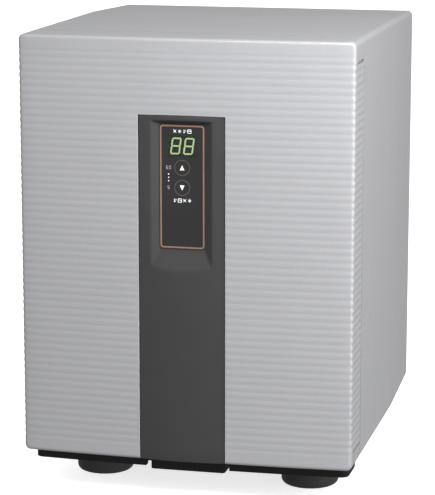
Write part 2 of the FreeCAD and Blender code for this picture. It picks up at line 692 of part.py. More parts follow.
def inner_bow(wall):
    """Corner y and radius of the bowed front's inner face."""
    radius = f"({BOW_RADIUS} - ({wall}))"
    corner = f"({DOOR_FRONT} + {BOW_RADIUS} - sqrt({radius} ^ 2 - ({HALF} - ({wall})) ^ 2))"
    return corner, radius


def fill_door(body, kind, wall, back):
    """Pad or pocket the room inside the door's outer panel, a wall in from its faces."""
    corner, radius = inner_bow(wall)
    sketch = front_sketch(body, corner)
    inset_outline(sketch, wall, wall)
    extrude(body, kind, sketch, f"{back} - {corner}")
    sketch = plan_sketch(body, f"{BOTTOM} + dims.corner_radius + {wall}")
    add_bowed_outline(sketch, f"-{HALF} + {wall}", f"{HALF} - {wall}", corner,
                      f"{corner} + 1", radius)
    extrude(body, kind, sketch, f"{TOP} - {BOTTOM} - 2 * (dims.corner_radius + {wall})")


def strip_span(extra):
    """The trim strip's left and right sides, moved out by a little."""
    return (f"{STRIP} - dims.strip_width / 2 - ({extra})",
            f"{STRIP} + dims.strip_width / 2 + ({extra})")


def bay_span(extra):
    """The room behind the controls: x and z spans, moved out by a little."""
    half = f"(dims.recess_width / 2 + {extra})"
    return ((f"{STRIP} - {half}", f"{STRIP} + {half}"),
            (f"{BOTTOM} + dims.recess_top - 140 - {extra}",
             f"{BOTTOM} + dims.recess_top + {extra}"))


def cut_hinge_slots(body, back):
    """The slots on the hinged side that the fixed hinge leaves pass through."""
    for leaf in (LEAF_TOP, LEAF_BOTTOM):
        middle = f"({leaf} + dims.leaf_thickness / 2)"
        block(body, "Pocket", (f"{HINGE_X} - 9", f"{HALF} + 1"),
              (f"{HINGE_Y} - 14.5", back),
              (f"{middle} - dims.hinge_slot / 2", f"{middle} + dims.hinge_slot / 2"))


def cover_span(leaf):
    """Lower and upper edge of a hinge cover, on the outer side of its slot."""
    slot = "dims.hinge_slot / 2"
    middle = f"({leaf} + dims.leaf_thickness / 2)"
    if leaf == LEAF_TOP:
        return f"{middle} + {slot} + 1.5", f"{TOP} - dims.corner_radius"
    return f"{BOTTOM} + dims.corner_radius", f"{middle} - {slot} - 1.5"


def make_door_outer_panel():
    body = new_body("door_outer_panel")
    wall = "dims.shell_wall"
    sketch = plan_sketch(body, BOTTOM)
    add_bowed_outline(sketch, f"-{HALF}", HALF, CORNER_PLANE, DOOR_BACK, BOW_RADIUS)
    pad(body, sketch, f"{TOP} - {BOTTOM}")
    fillet(body, "dims.corner_radius", lambda edge: along(edge, 1))
    back = size(DOOR_BACK)
    front = size(CORNER_PLANE)
    fillet(body, "dims.front_edge_radius", lambda edge: edge.BoundBox.YMax < front + 0.01)
    fillet(body, "2", lambda edge: along(edge, 2) and edge.BoundBox.YMin > back - 0.01)
    fill_door(body, "Pocket", wall, f"{DOOR_BACK} + 1")
    # the channel that the trim strip lies in, with a wall behind it
    left, right = strip_span("dims.strip_gap + 2.5")
    floor = f"({CROWN} + 2.8 + dims.strip_thickness + 0.1)"
    block(body, "Pad", (left, right), (f"{DOOR_FRONT} + {wall} - 0.5", f"{floor} + 2"),
          (f"{BOTTOM} + {wall} - 0.5", f"{BOTTOM} + dims.strip_height + 3"))
    block(body, "Pocket", strip_span("dims.strip_gap"), (f"{CROWN} - 1", floor),
          (f"{BOTTOM} - 1", f"{BOTTOM} + dims.strip_height + dims.strip_gap"))
    across, upward = bay_span("2.5")
    block(body, "Pocket", across, (f"{floor} - 1", f"{floor} + 3"), upward)
    cut_hinge_slots(body, f"{DOOR_BACK} + 1")
    for leaf in (LEAF_TOP, LEAF_BOTTOM):
        block(body, "Pocket", (f"{HALF} - 1.5", f"{HALF} + 1"),
              (f"{HINGE_Y} - 14", f"{HINGE_Y} + 14"), cover_span(leaf))


def make_door_inner_panel():
    body = new_body("door_inner_panel")
    gap = "(dims.shell_wall + dims.fit_gap)"
    plate = "2.5"
    face = f"({DOOR_BACK} - {plate})"
    sketch = front_sketch(body, face)
    inset_outline(sketch, gap, gap)
    pad(body, sketch, plate)
    # the plug that reaches into the chamber, hollow from the foam side
    for kind, reach, inset in (("Pad", "0", "dims.plug_gap"),
                               ("Pocket", "2", "(dims.plug_gap + 2.2)")):
        sketch = front_sketch(body, face)
        add_rectangle(sketch, f"-{CHAMBER_HALF} + {inset}", f"{CHAMBER_HALF} - {inset}",
                      f"{CHAMBER_FLOOR} + {inset}", f"{CHAMBER_TOP} - {inset}", "8")
        extrude(body, kind, sketch, f"dims.plug_depth + {plate} - {reach}")
    # the seat of the magnetic gasket, as a channel all round the plug
    for kind, start, end, spare in (("Pad", f"{DOOR_BACK} - dims.gasket_seat - 2",
                                     f"{face} + 0.5", "1.8"),
                                    ("Pocket", f"{DOOR_BACK} - dims.gasket_seat",
                                     f"{DOOR_BACK} + 1", "0")):
        sketch = front_sketch(body, start)
        add_ring(sketch, spare)
        extrude(body, kind, sketch, f"({end}) - ({start})")
    cut_hinge_slots(body, f"{DOOR_BACK} + 1")


def add_ring(sketch, spare):
    """The gasket's path round the chamber mouth, widened both ways by a little."""
    for out in (f"(dims.gasket_width + 1.5 + {spare})", f"(1.5 - {spare})"):
        add_mouth(sketch, out)


def make_door_gasket():
    body = new_body("door_gasket")
    sketch = front_sketch(body, f"{DOOR_BACK} - dims.gasket_seat")
    add_ring(sketch, "-0.2")
    pad(body, sketch, "dims.gasket_seat + dims.seam_gap - 0.3")


def make_door_foam():
    body = new_body("door_foam")
    wall = "(dims.shell_wall + dims.fit_gap)"
    back = f"({DOOR_BACK} - 2.5)"
    fill_door(body, "Pad", wall, back)
    sketch = front_sketch(body, back)
    inset = "(dims.plug_gap + 2.4)"
    add_rectangle(sketch, f"-{CHAMBER_HALF} + {inset}", f"{CHAMBER_HALF} - {inset}",
                  f"{CHAMBER_FLOOR} + {inset}", f"{CHAMBER_TOP} - {inset}", "8")
    pad(body, sketch, "dims.plug_depth - 0.1")
    sketch = front_sketch(body, f"{DOOR_BACK} - dims.gasket_seat - 2.1")
    add_ring(sketch, "2")
    pocket(body, sketch, "dims.gasket_seat + 0.2")
    # room for the trim strip's channel, the controls and the hinges
    floor = f"({CROWN} + 2.8 + dims.strip_thickness + 2.2)"
    block(body, "Pocket", strip_span("dims.strip_gap + 2.6"), (f"{CROWN} - 1", floor),
          (f"{BOTTOM} - 1", f"{BOTTOM} + dims.strip_height + 3.1"))
    across, upward = bay_span("3")
    block(body, "Pocket", across, (f"{CROWN} - 1", f"{BOARD_FRONT} + 6"), upward)
    for leaf in (LEAF_TOP, LEAF_BOTTOM):
        middle = f"({leaf} + dims.leaf_thickness / 2)"
        block(body, "Pocket", (f"{HINGE_X} - 9.5", f"{HALF} + 1"),
              (f"{HINGE_Y} - 16", f"{DOOR_BACK}"), (f"{middle} - 18", f"{middle} + 18"))


def make_hinge_covers():
    for side, leaf in (("top", LEAF_TOP), ("bottom", LEAF_BOTTOM)):
        low, high = cover_span(leaf)
        name = f"hinge_cover_{side}"
        finish(box((f"{HALF} - 1.5", HALF), (f"{HINGE_Y} - 13.9", f"{HINGE_Y} + 13.9"),
                   (f"{low} + 0.1", f"{high} - 0.1"), name), name)


def make_door():
    make_door_outer_panel()
    make_door_inner_panel()
    make_door_foam()
    make_door_gasket()
    make_hinge_covers()


# ---- the trim strip and the controls ----

def key_heights():
    upper = f"({CONTROLS} + dims.key_rise)"
    return {"up": upper, "down": f"({upper} - dims.key_pitch)"}


def window_span(extra):
    half = f"(dims.window_width / 2 + {extra})"
    tall = f"(dims.window_height / 2 + {extra})"
    middle = f"({CONTROLS} + dims.window_rise)"
    return (f"{STRIP} - {half}", f"{STRIP} + {half}"), (f"{middle} - {tall}", f"{middle} + {tall}")


def make_trim_strip():
    body = new_body("trim_strip")
    sagitta = "(dims.strip_radius - sqrt(dims.strip_radius ^ 2 - (dims.strip_width / 2) ^ 2))"
    edge = f"({CROWN} + {sagitta})"
    left, right = strip_span("0")
    sketch = plan_sketch(body, BOTTOM)
    add_bowed_outline(sketch, left, right, edge, f"{edge} + dims.strip_thickness",
                      "dims.strip_radius")
    pad(body, sketch, "dims.strip_height")
    across, upward = bay_span("2")
    block(body, "Pad", across, (f"{edge} + 1", f"{RECESS_FLOOR} + 2"), upward)
    # the recess: steep at the top and the sides, a long slope at the bottom
    top = f"({BOTTOM} + dims.recess_top)"
    lift = "0.5"
    sections = []
    length = "dims.recess_length"
    for y, narrow, drop, low in (
            (f"{CROWN} - {lift}", "0", "0", f"{top} - {length} - 3.2 * {lift}"),
            (RECESS_FLOOR, "dims.recess_side_slope", "dims.recess_top_slope",
             f"{top} - {length} + dims.recess_slope")):
        sketch = front_sketch(body, y)
        half = f"(dims.recess_width / 2 - {narrow})"
        add_rectangle(sketch, f"{STRIP} - {half}", f"{STRIP} + {half}", low, f"{top} - {drop}")
        sections.append(sketch)
    loft(body, "SubtractiveLoft", *sections)
    sketch = front_sketch(body, f"{RECESS_FLOOR} - 1")
    for height in key_heights().values():
        add_circle(sketch, STRIP, height, "dims.key_radius + 0.2")
    (left, right), (low, high) = window_span("0.1")
    add_rectangle(sketch, left, right, low, high)
    pocket(body, sketch, "4")
    # posts for the circuit board
    sketch = front_sketch(body, f"{RECESS_FLOOR} + 2")
    for x, z in board_corners():
        add_circle(sketch, x, z, "3")
        add_circle(sketch, x, z, "1.25")
    pad(body, sketch, f"{BOARD_FRONT} - {RECESS_FLOOR} - 2")


def board_corners():
    return [(f"{STRIP} {side} 19", f"{CONTROLS} {end} 50") for side in "-+" for end in "-+"]


def make_control_overlay():
    body = new_body("control_overlay")
    half = "dims.control_width / 2"
    tall = "dims.control_height / 2"
    sketch = front_sketch(body, PANEL_FACE)
    add_rectangle(sketch, f"{STRIP} - {half}", f"{STRIP} + {half}", f"{CONTROLS} - {tall}",
                  f"{CONTROLS} + {tall}", "3")
    for height in key_heights().values():
        add_circle(sketch, STRIP, height, "dims.key_radius + 0.2")
    (left, right), (low, high) = window_span("0.1")
    add_rectangle(sketch, left, right, low, high)
    pad(body, sketch, f"{RECESS_FLOOR} - {PANEL_FACE}")


def make_overlay_border():
    """The thin copper-coloured frame and the rings round the keys."""
    body = doc.addObject("PartDesign::Body", "overlay_border_frame")
    sketch = front_sketch(body, f"{PANEL_FACE} - 0.2")
    for shrink in ("0", "dims.line_width"):
        half = f"(dims.line_frame_width / 2 - {shrink})"
        tall = f"(dims.line_frame_height / 2 - {shrink})"
        add_rectangle(sketch, f"{STRIP} - {half}", f"{STRIP} + {half}", f"{CONTROLS} - {tall}",
                      f"{CONTROLS} + {tall}", f"3 - {shrink}")
    pad(body, sketch, "0.2")
    rings = []
    for height in key_heights().values():
        span = (f"{PANEL_FACE} - 0.2", PANEL_FACE)
        outer = rod("y", (STRIP, height), span, "dims.ring_radius")
        rings.append(cut(outer, rod("y", (STRIP, height), (CROWN, "0"), "dims.key_radius + 0.3")))
    group([body] + rings, "overlay_border")


def make_controls():
    make_trim_strip()
    make_control_overlay()
    make_overlay_border()
    across, upward = window_span("0")
    finish(box(across, (PANEL_FACE, f"{PANEL_FACE} + 1"), upward, "display_window"),
           "display_window")
    half, tall = "(dims.window_width / 2 - 1)", "(dims.window_height / 2 - 0.8)"
    middle = f"({CONTROLS} + dims.window_rise)"
    finish(box((f"{STRIP} - {half}", f"{STRIP} + {half}"), (f"{PANEL_FACE} + 1.2", BOARD_FRONT),
               (f"{middle} - {tall}", f"{middle} + {tall}"), "display_digits"), "display_digits")
    board = box((f"{STRIP} - 23", f"{STRIP} + 23"), (BOARD_FRONT, f"{BOARD_FRONT} + 1.6"),
                (f"{CONTROLS} - 54", f"{CONTROLS} + 54"))
    chip = box((f"{STRIP} - 6", f"{STRIP} + 6"), (f"{BOARD_FRONT} - 2", f"{BOARD_FRONT} + 0.5"),
               (f"{CONTROLS} - 34", f"{CONTROLS} - 22"))
    holes = [rod("y", place, (BOARD_FRONT, f"{BOARD_FRONT} + 2"), "1.3")
             for place in board_corners()]
    finish(cut(fuse([board, chip]), fuse(holes), "display_board"), "display_board")
    screws = []
    for place in board_corners():
        head = rod("y", place, (f"{BOARD_FRONT} + 1.6", f"{BOARD_FRONT} + 3.2"), "2.4")
        shank = rod("y", place, (f"{BOARD_FRONT} - 4", f"{BOARD_FRONT} + 2"), "1.2")
        screws.append(fuse([head, shank]))
    group(screws, "board_screws")
    switches = []
    for name, height in key_heights().items():
        cap = rod("y", (STRIP, height), (f"{PANEL_FACE} - 0.3", f"{RECESS_FLOOR} + 1"),
                  "dims.key_radius")
        stem = rod("y", (STRIP, height), (RECESS_FLOOR, f"{BOARD_FRONT} - 4.4"), "2")
        finish(fuse([cap, stem], f"{name}_key"), f"{name}_key")
        switches.append(box((f"{STRIP} - 3", f"{STRIP} + 3"), (f"{BOARD_FRONT} - 3.4", BOARD_FRONT),
                            (f"{height} - 3", f"{height} + 3")))
    group(switches, "key_switches")


# ---- shelves ----

def make_shelf(name, rail):
    """A welded wire shelf that lies on one pair of rails."""
    floor = f"({CHAMBER_FLOOR} + dims.rail_pitch * {rail})"
    middle = f"({floor} + dims.frame_wire)"
    half = "dims.shelf_half_width"
    front = f"({CABINET_FRONT} + dims.shelf_front_gap + dims.frame_wire)"
    back = f"({front} + dims.shelf_length - 2 * dims.frame_wire)"
    wires = []
    for x in (f"-{half}", half):
        wires.append(rod("y", (x, middle), (front, back), "dims.frame_wire"))
    for y in (front, back):
        wires.append(rod("x", (y, middle), (f"-{half}", half), "dims.frame_wire"))
    for x in (f"-{half}", half):
        for y in (front, back):
            ball = doc.addObject("Part::Sphere", "corner")
            ball.setExpression("Radius", "dims.frame_wire")
            for base, place in zip("xyz", (x, y, middle)):
                ball.setExpression(f".Placement.Base.{base}", place)
            wires.append(ball)
    count = 14
    for number in range(1, count):
        x = f"{half} * (2 * {number} / {count} - 1)"
        wires.append(rod("y", (x, f"{middle} + 2"), (f"{front} - 1", f"{back} + 1"),
                         "dims.cross_wire"))
    finish(fuse(wires, f"wire_shelf_{name}"), f"wire_shelf_{name}")


# ---- fans ----

def make_fan(side, width, start, depth, hub_radius, blades):
    """A square axial fan: a frame with a spoked motor seat, and the rotor that it carries."""
    half = f"({width} / 2)"
    end = f"({start} + {depth})"
    body = new_body(f"{side}_fan_frame")
    sketch = front_sketch(body, start)
    add_rectangle(sketch, f"-{half}", half, f"{STACK} - {half}", f"{STACK} + {half}", "5")
    add_circle(sketch, "0", STACK, f"{half} - 2")
    for x in "-+":
        for z in "-+":
            add_circle(sketch, f"{x}({half} - 5)", f"{STACK} {z} ({half} - 5)", "1.8")
    pad(body, sketch, depth)
    seat = f"({end} - 2)"
    reach = f"({half} - 1)"
    block(body, "Pad", (f"-{reach}", reach), (seat, end), (f"{STACK} - 2", f"{STACK} + 2"))
    block(body, "Pad", ("-2", "2"), (seat, end), (f"{STACK} - {reach}", f"{STACK} + {reach}"))
    sketch = front_sketch(body, seat)
    add_circle(sketch, "0", STACK, hub_radius)
    pad(body, sketch, "2")
    sketch = front_sketch(body, f"{seat} - 1")
    add_circle(sketch, "0", STACK, "1.55")
    pocket(body, sketch, "4")
    pieces = [rod("y", ("0", STACK), (f"{start} + 0.8", f"{seat} - 0.6"), hub_radius),
              rod("y", ("0", STACK), (f"{start} + 2", f"{end} - 0.5"), "1.5")]
    span = f"({seat} - 1 - {start} - 1.5)"
    pitch = 35
    for number in range(blades):
        blade = doc.addObject("Part::Box", "blade")
        blade.setExpression("Length", f"{half} - 3.2 - {hub_radius} + 2")
        blade.setExpression("Width", f"{span} / cos({pitch}) * 0.85")
        blade.Height = 1.2
        turn = FreeCAD.Rotation(FreeCAD.Vector(0, 1, 0), 360 * number / blades)
        lean = FreeCAD.Rotation(FreeCAD.Vector(1, 0, 0), pitch)
        chord = size(span) / math.cos(math.radians(pitch)) * 0.85
        local = FreeCAD.Vector(size(hub_radius) - 2, 0, 0)
        offset = lean.multVec(FreeCAD.Vector(0, -chord / 2, -0.6))
        centre = FreeCAD.Vector(0, size(f"{start} + 1.5 + {span} / 2"), size(STACK))
        blade.Placement = FreeCAD.Placement(centre + turn.multVec(local + offset),
                                            turn.multiply(lean))
        pieces.append(blade)
    finish(fuse(pieces, f"{side}_fan_rotor"), f"{side}_fan_rotor")


# ---- the thermoelectric stack ----

def make_sink(name, width, base, fins, count, thick):
    """A finned heat sink: base and fins are (low, high) spans in y."""
    body = new_body(name)
    half = f"({width} / 2)"
    block(body, "Pad", (f"-{half}", half), base, (f"{STACK} - {half}", f"{STACK} + {half}"))
    fin = block(body, "Pad", (f"-{half}", f"-{half} + {thick}"), fins,
                (f"{STACK} - {half}", f"{STACK} + {half}"))
    repeat(body, fin, "X_Axis", f"({width} - {thick}) / ({count} - 1)", str(count))
    return body


def drill_stack(body, start, length, radius):
    sketch = front_sketch(body, start)
    for x, z in stack_corners():
        add_circle(sketch, x, z, radius)
    pocket(body, sketch, length)


def stack_corners():
    return [(f"{x}25.2", f"{STACK} {z} 25.2") for x in "-+" for z in "-+"]


def make_stack():
    back = CHAMBER_BACK
    base_front = f"({back} - 3)"
    body = make_sink("inner_fin_sink", "dims.inner_sink", (base_front, back),
                     (f"{back} - 12", f"{base_front} + 0.5"), 15, "1.2")
    drill_stack(body, f"{back} - 2", "3", "1.55")
    half = "dims.module_size / 2"
    stack = (f"{STACK} - {half}", f"{STACK} + {half}")
    module_front = f"({FOAM_BACK} - dims.module_thickness)"
    finish(box((f"-{half} - 2", f"{half} + 2"), (back, module_front),
               (f"{STACK} - {half} - 2", f"{STACK} + {half} + 2"), "spacer_block"),
           "spacer_block")
    finish(box((f"-{half}", half), (module_front, FOAM_BACK), stack, "peltier_module"),
           "peltier_module")
    body = new_body("bulkhead_plate")
    block(body, "Pad", (f"-{HALF} + 6", f"{HALF} - 6"), (FOAM_BACK, BULKHEAD_BACK),
          (f"{BOTTOM} + 6", f"{TOP} - 6"))
    hole = "dims.stack_opening / 2"
    block(body, "Pocket", (f"-{hole}", hole), (f"{FOAM_BACK} - 1", f"{BULKHEAD_BACK} + 1"),
          (f"{STACK} - {hole}", f"{STACK} + {hole}"))
    sink_back = f"({BULKHEAD_BACK} + 4)"
    body = make_sink("outer_heat_sink", "dims.outer_sink", (BULKHEAD_BACK, sink_back),
                     (f"{sink_back} - 0.5", f"{sink_back} + 22"), 15, "1.5")
    block(body, "Pad", (f"-{half} - 1", f"{half} + 1"), (FOAM_BACK, f"{BULKHEAD_BACK} + 1"),
          (f"{STACK} - {half} - 1", f"{STACK} + {half} + 1"))
    block(body, "Pad", ("dims.outer_sink / 2 - 1", "dims.outer_sink / 2 + 20"),
          (BULKHEAD_BACK, sink_back), (f"{STACK} - 15", f"{STACK} + 15"))
    drill_stack(body, f"{BULKHEAD_BACK} - 1", "30", "2.9")
    finish(rod("y", ("dims.outer_sink / 2 + 10", STACK), (sink_back, f"{sink_back} + 6"), "8",
               "thermal_cutout"), "thermal_cutout")
    screws = []
    for place in stack_corners():
        head = rod("y", place, (f"{sink_back} - 1", f"{sink_back} + 1.5"), "2.8")
        shank = rod("y", place, (f"{back} - 2", sink_back), "1.5")
        screws.append(fuse([head, shank]))
    group(screws, "clamp_screws")
    fan_front = f"({sink_back} + 22.2)"
    make_fan("outer", "dims.outer_fan", fan_front, "dims.outer_fan_depth", "19", 7)
    make_fan("inner", "dims.inner_fan", f"({back} - 12.2 - dims.inner_fan_depth)",
             "dims.inner_fan_depth", "14", 9)
    screws = []
    corner = "(dims.outer_fan / 2 - 5)"
    for x in "-+":
        for z in "-+":
            place = (f"{x}{corner}", f"{STACK} {z} {corner}")
            end = f"({fan_front} + dims.outer_fan_depth)"
            head = rod("y", place, (end, f"{end} + 1.8"), "3.2")
            screws.append(fuse([head, rod("y", place, (f"{fan_front} + 1", f"{end} + 1"), "1.7")]))
    group(screws, "outer_fan_screws")


def make_inner_cowl():
    """The white grille that covers the inner sink and fan."""
    body = new_body("inner_fan_cowl")
    half = "(dims.cowl_size / 2)"
    front = f"({CHAMBER_BACK} - 24.5)"
    square = (f"{STACK} - {half}", f"{STACK} + {half}")
    block(body, "Pad", (f"-{half}", half), (front, CHAMBER_BACK), square)
    fillet(body, "4", lambda edge: along(edge, 1))
    inner = f"({half} - 2)"
    block(body, "Pocket", (f"-{inner}", inner), (f"{front} + 1.8", f"{CHAMBER_BACK} + 1"),
          (f"{STACK} - {inner}", f"{STACK} + {inner}"))
    reach = "(dims.inner_fan / 2 - 4)"
    slot = block(body, "Pocket", (f"-{reach}", reach), (f"{front} - 1", f"{front} + 3"),
                 (f"{STACK} - {reach}", f"{STACK} - {reach} + 4.2"))
    repeat(body, slot, "Z_Axis", "7.5", "10")
    # outlets in the upper and lower edges
    for z in (f"({STACK} - {half})", f"({STACK} + {half})"):
        slot = block(body, "Pocket", ("-48", "-42"), (f"{front} + 6", f"{CHAMBER_BACK} - 4"),
                     (f"{z} - 3", f"{z} + 3"))
        repeat(body, slot, "X_Axis", "10", "10")


# ---- the rear cover and the mains side ----

def mains_opening(side, half_wide, half_tall):
    z = "dims.mains_height"
    return ((f"-dims.{side} - {half_wide}", f"-dims.{side} + {half_wide}"),
            (f"{z} - {half_tall}", f"{z} + {half_tall}"))


def make_rear_cover():
    body = new_body("rear_cover")
    rim = "(dims.rear_rim + 0.3)"
    front = f"({BACK} - dims.rear_rebate)"
    block(body, "Pad", (f"-{HALF} + {rim}", f"{HALF} - {rim}"), (front, BACK),
          (f"{BOTTOM} + {rim}", f"{TOP} - {rim}"))
    through = (f"{front} - 1", f"{BACK} + 1")
    slot = block(body, "Pocket", ("-42", "42"), through, (f"{STACK} - 40", f"{STACK} - 36"))
    repeat(body, slot, "Z_Axis", "7.6", "11")
    slot = block(body, "Pocket", ("-30", "110"), through, ("130", "134"))
    repeat(body, slot, "Z_Axis", "9", "8")
    for side, wide, tall in (("inlet_side", "14", "10.2"), ("rocker_side", "10.6", "7.6")):
        across, upward = mains_opening(side, wide, tall)
        block(body, "Pocket", across, through, upward)
    sketch = front_sketch(body, f"{front} - 1")
    for x, z in cover_screw_places():
        add_circle(sketch, x, z, "1.8")
    pocket(body, sketch, "5")
    sketch = front_sketch(body, f"{BACK} - 1.4")
    for x, z in cover_screw_places():
        add_circle(sketch, x, z, "3.1")
    pocket(body, sketch, "2")
    screws = []
    for place in cover_screw_places():
        head = rod("y", place, (f"{BACK} - 1.4", f"{BACK} - 0.1"), "3")
        shank = rod("y", place, (f"{BACK} - 8", f"{BACK} - 1"), "1.7")
        screws.append(fuse([head, shank]))
    group(screws, "rear_cover_screws")


def cover_screw_places():
    """Six screws along the two long edges, over the shell's inner lip."""
    heights = [f"({BOTTOM} + 30)", f"(({BOTTOM} + {TOP}) / 2)", f"({TOP} - 30)"]
    inset = "(dims.rear_rim + 3.3)"
    return [(f"{side}({HALF} - {inset})", height) for side in "-+" for height in heights]


def make_mains():
    z = "dims.mains_height"
    x = "-dims.inlet_side"
    body = new_body("ac_inlet")
    front = f"({BACK} - 24)"
    block(body, "Pad", (f"{x} - 13.8", f"{x} + 13.8"), (front, BACK), (f"{z} - 10", f"{z} + 10"))
    block(body, "Pocket", (f"{x} - 12", f"{x} + 12"), (f"{BACK} - 18", f"{BACK} + 1"),
          (f"{z} - 8", f"{z} + 8"))
    sketch = front_sketch(body, f"{BACK} - 19")
    for shift, drop in (("-7", "2"), ("0", "-2"), ("7", "2")):
        add_rectangle(sketch, f"{x} + {shift} - 1", f"{x} + {shift} + 1", f"{z} - {drop} - 2",
                      f"{z} - {drop} + 2")
    pad(body, sketch, "15")
    x = "-dims.rocker_side"
    body = new_body("switch_housing")
    block(body, "Pad", (f"{x} - 10.4", f"{x} + 10.4"), (f"{BACK} - 20", BACK),
          (f"{z} - 7.4", f"{z} + 7.4"))
    block(body, "Pocket", (f"{x} - 9", f"{x} + 9"), (f"{BACK} - 12", f"{BACK} + 1"),
          (f"{z} - 5.9", f"{z} + 5.9"))
    # the rocker, drawn as it lies: its left end is pressed in
    rocker = new_body("power_rocker")
    sketch = plan_sketch(rocker, "-5.6")
    add_polygon(sketch, [("-7.6", "-4"), ("7.6", "-4"), ("7.6", "2.6"), ("0", "1.2"),
                         ("-7.6", "2.6")])
    pad(rocker, sketch, "11.2")
    rocker.Placement = FreeCAD.Placement(
        FreeCAD.Vector(size(x), size(f"{BACK} - 4"), size(z)),
        FreeCAD.Rotation(FreeCAD.Vector(0, 0, 1), 7))
    rocker.setExpression(".Placement.Base.x", x)
    rocker.setExpression(".Placement.Base.y", f"{BACK} - 4")
    rocker.setExpression(".Placement.Base.z", z)


def make_power_supply():
    front = f"({BULKHEAD_BACK} + 5)"
    board = box(("-60", "60"), (front, f"{front} + 1.6"), ("75", "180"))
    parts = [board,
             box(("-48", "-8"), (f"{front} + 1", f"{front} + 30"), ("120", "158")),
             box(("10", "52"), (f"{front} + 1", f"{front} + 22"), ("150", "154")),
             box(("14", "26"), (f"{front} + 1", f"{front} + 14"), ("84", "112")),
             rod("y", ("40", "125"), (f"{front} + 1", f"{front} + 26"), "10")]
    for x in ("-54", "54"):
        for z in ("81", "174"):
            parts.append(rod("y", (x, z), (BULKHEAD_BACK, f"{front} + 1"), "3"))
    finish(fuse(parts, "power_supply_board"), "power_supply_board")


def make_temperature_sensor():
    """A small capsule on the left side wall, level with the stack's upper edge."""
    name = "temperature_sensor"
    wall = f"(-{CHAMBER_HALF})"
    low = f"({STACK} + dims.sensor_rise)"
    capsule = box((wall, f"{wall} + dims.sensor_depth"),
                  ("dims.sensor_back", "dims.sensor_back + dims.sensor_width"),
                  (low, f"{low} + dims.sensor_height"), name)
    finish(capsule, name)


make_outer_shell()
make_front_frame()
make_inner_liner()
make_shelf_rails("left", "-")
make_shelf_rails("right", "")
make_insulation_foam()
make_strike_frame()
make_base()
make_hinges()
make_door()
make_controls()
make_shelf("lower", 2)
make_shelf("upper", 4)
make_stack()
make_inner_cowl()
make_rear_cover()
make_mains()
make_power_supply()
make_temperature_sensor()

doc.recompute()
for item in doc.Objects:
    if "Invalid" in item.State or "Error" in item.State:
        raise RuntimeError(f"{item.Label} did not recompute: {item.State}")
os.makedirs("parts", exist_ok=True)
for piece in subparts:
    if piece.Shape.isNull() or not piece.Shape.isValid():
        raise RuntimeError(f"{piece.Label} has no valid shape")
    piece.Shape.exportStep(f"parts/{piece.Label}.step")
    bounds = piece.Shape.BoundBox
    print(f"{piece.Label:22} {len(piece.Shape.Solids)} solid(s) {piece.Shape.Volume:12.1f} mm3 "
          f"x {bounds.XMin:.1f}..{bounds.XMax:.1f} y {bounds.YMin:.1f}..{bounds.YMax:.1f} "
          f"z {bounds.ZMin:.1f}..{bounds.ZMax:.1f}")
print(len(subparts), "sub-parts")
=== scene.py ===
import json
import math

import bpy
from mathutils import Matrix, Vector


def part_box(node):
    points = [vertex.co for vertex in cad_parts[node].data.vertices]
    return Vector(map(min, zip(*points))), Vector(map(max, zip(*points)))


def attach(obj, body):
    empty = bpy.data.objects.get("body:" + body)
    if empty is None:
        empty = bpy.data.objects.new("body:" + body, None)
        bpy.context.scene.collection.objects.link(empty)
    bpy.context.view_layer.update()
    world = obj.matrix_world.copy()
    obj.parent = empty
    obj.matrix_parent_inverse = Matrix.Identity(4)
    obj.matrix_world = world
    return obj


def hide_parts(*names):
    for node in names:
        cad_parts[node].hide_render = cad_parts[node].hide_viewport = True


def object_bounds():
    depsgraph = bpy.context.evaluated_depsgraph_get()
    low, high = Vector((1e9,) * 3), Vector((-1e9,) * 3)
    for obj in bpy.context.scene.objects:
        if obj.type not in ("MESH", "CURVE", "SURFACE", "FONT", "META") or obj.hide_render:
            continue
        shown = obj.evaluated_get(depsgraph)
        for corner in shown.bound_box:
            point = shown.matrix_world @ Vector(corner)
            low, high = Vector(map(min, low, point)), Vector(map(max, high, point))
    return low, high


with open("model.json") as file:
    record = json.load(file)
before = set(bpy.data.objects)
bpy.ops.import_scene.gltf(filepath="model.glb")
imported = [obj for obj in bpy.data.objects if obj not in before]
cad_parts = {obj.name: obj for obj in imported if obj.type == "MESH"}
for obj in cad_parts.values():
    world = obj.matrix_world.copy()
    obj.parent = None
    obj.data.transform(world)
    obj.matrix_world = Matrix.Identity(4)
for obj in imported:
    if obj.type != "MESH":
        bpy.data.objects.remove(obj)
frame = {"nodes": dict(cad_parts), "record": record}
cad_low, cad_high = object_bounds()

# Looks for the warm and cool cabinet, in metres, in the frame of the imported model.
# x runs to the hinged side, -y to the front, z up.

MM = 0.001
NOISE_LOW = 0.3
NOISE_HIGH = 0.7
nodes = frame["nodes"]
slot_of = {part["node"]: part["material_slot"] for part in frame["record"]["subparts"]}


# ---- small helpers for node materials ----

def link(tree, source, target):
    tree.links.new(source, target)


def texture_space(tree, stretch=(1, 1, 1)):
    """Object coordinates, which are metres in the row frame, stretched along the axes."""
    coords = tree.nodes.new("ShaderNodeTexCoord")
    mapping = tree.nodes.new("ShaderNodeMapping")
    mapping.inputs["Scale"].default_value = stretch
    link(tree, coords.outputs["Object"], mapping.inputs["Vector"])
    return mapping.outputs["Vector"]


def noise(tree, cell, detail=2.0, stretch=(1, 1, 1)):
    """Noise from 0 to 1 whose blobs are about one cell wide."""
    node = tree.nodes.new("ShaderNodeTexNoise")
    node.inputs["Scale"].default_value = 1 / cell
    node.inputs["Detail"].default_value = detail
    link(tree, texture_space(tree, stretch), node.inputs["Vector"])
    return node.outputs["Fac"]


def cells(tree, cell, output="Distance"):
    node = tree.nodes.new("ShaderNodeTexVoronoi")
    node.inputs["Scale"].default_value = 1 / cell
    link(tree, texture_space(tree), node.inputs["Vector"])
    return node.outputs[output]


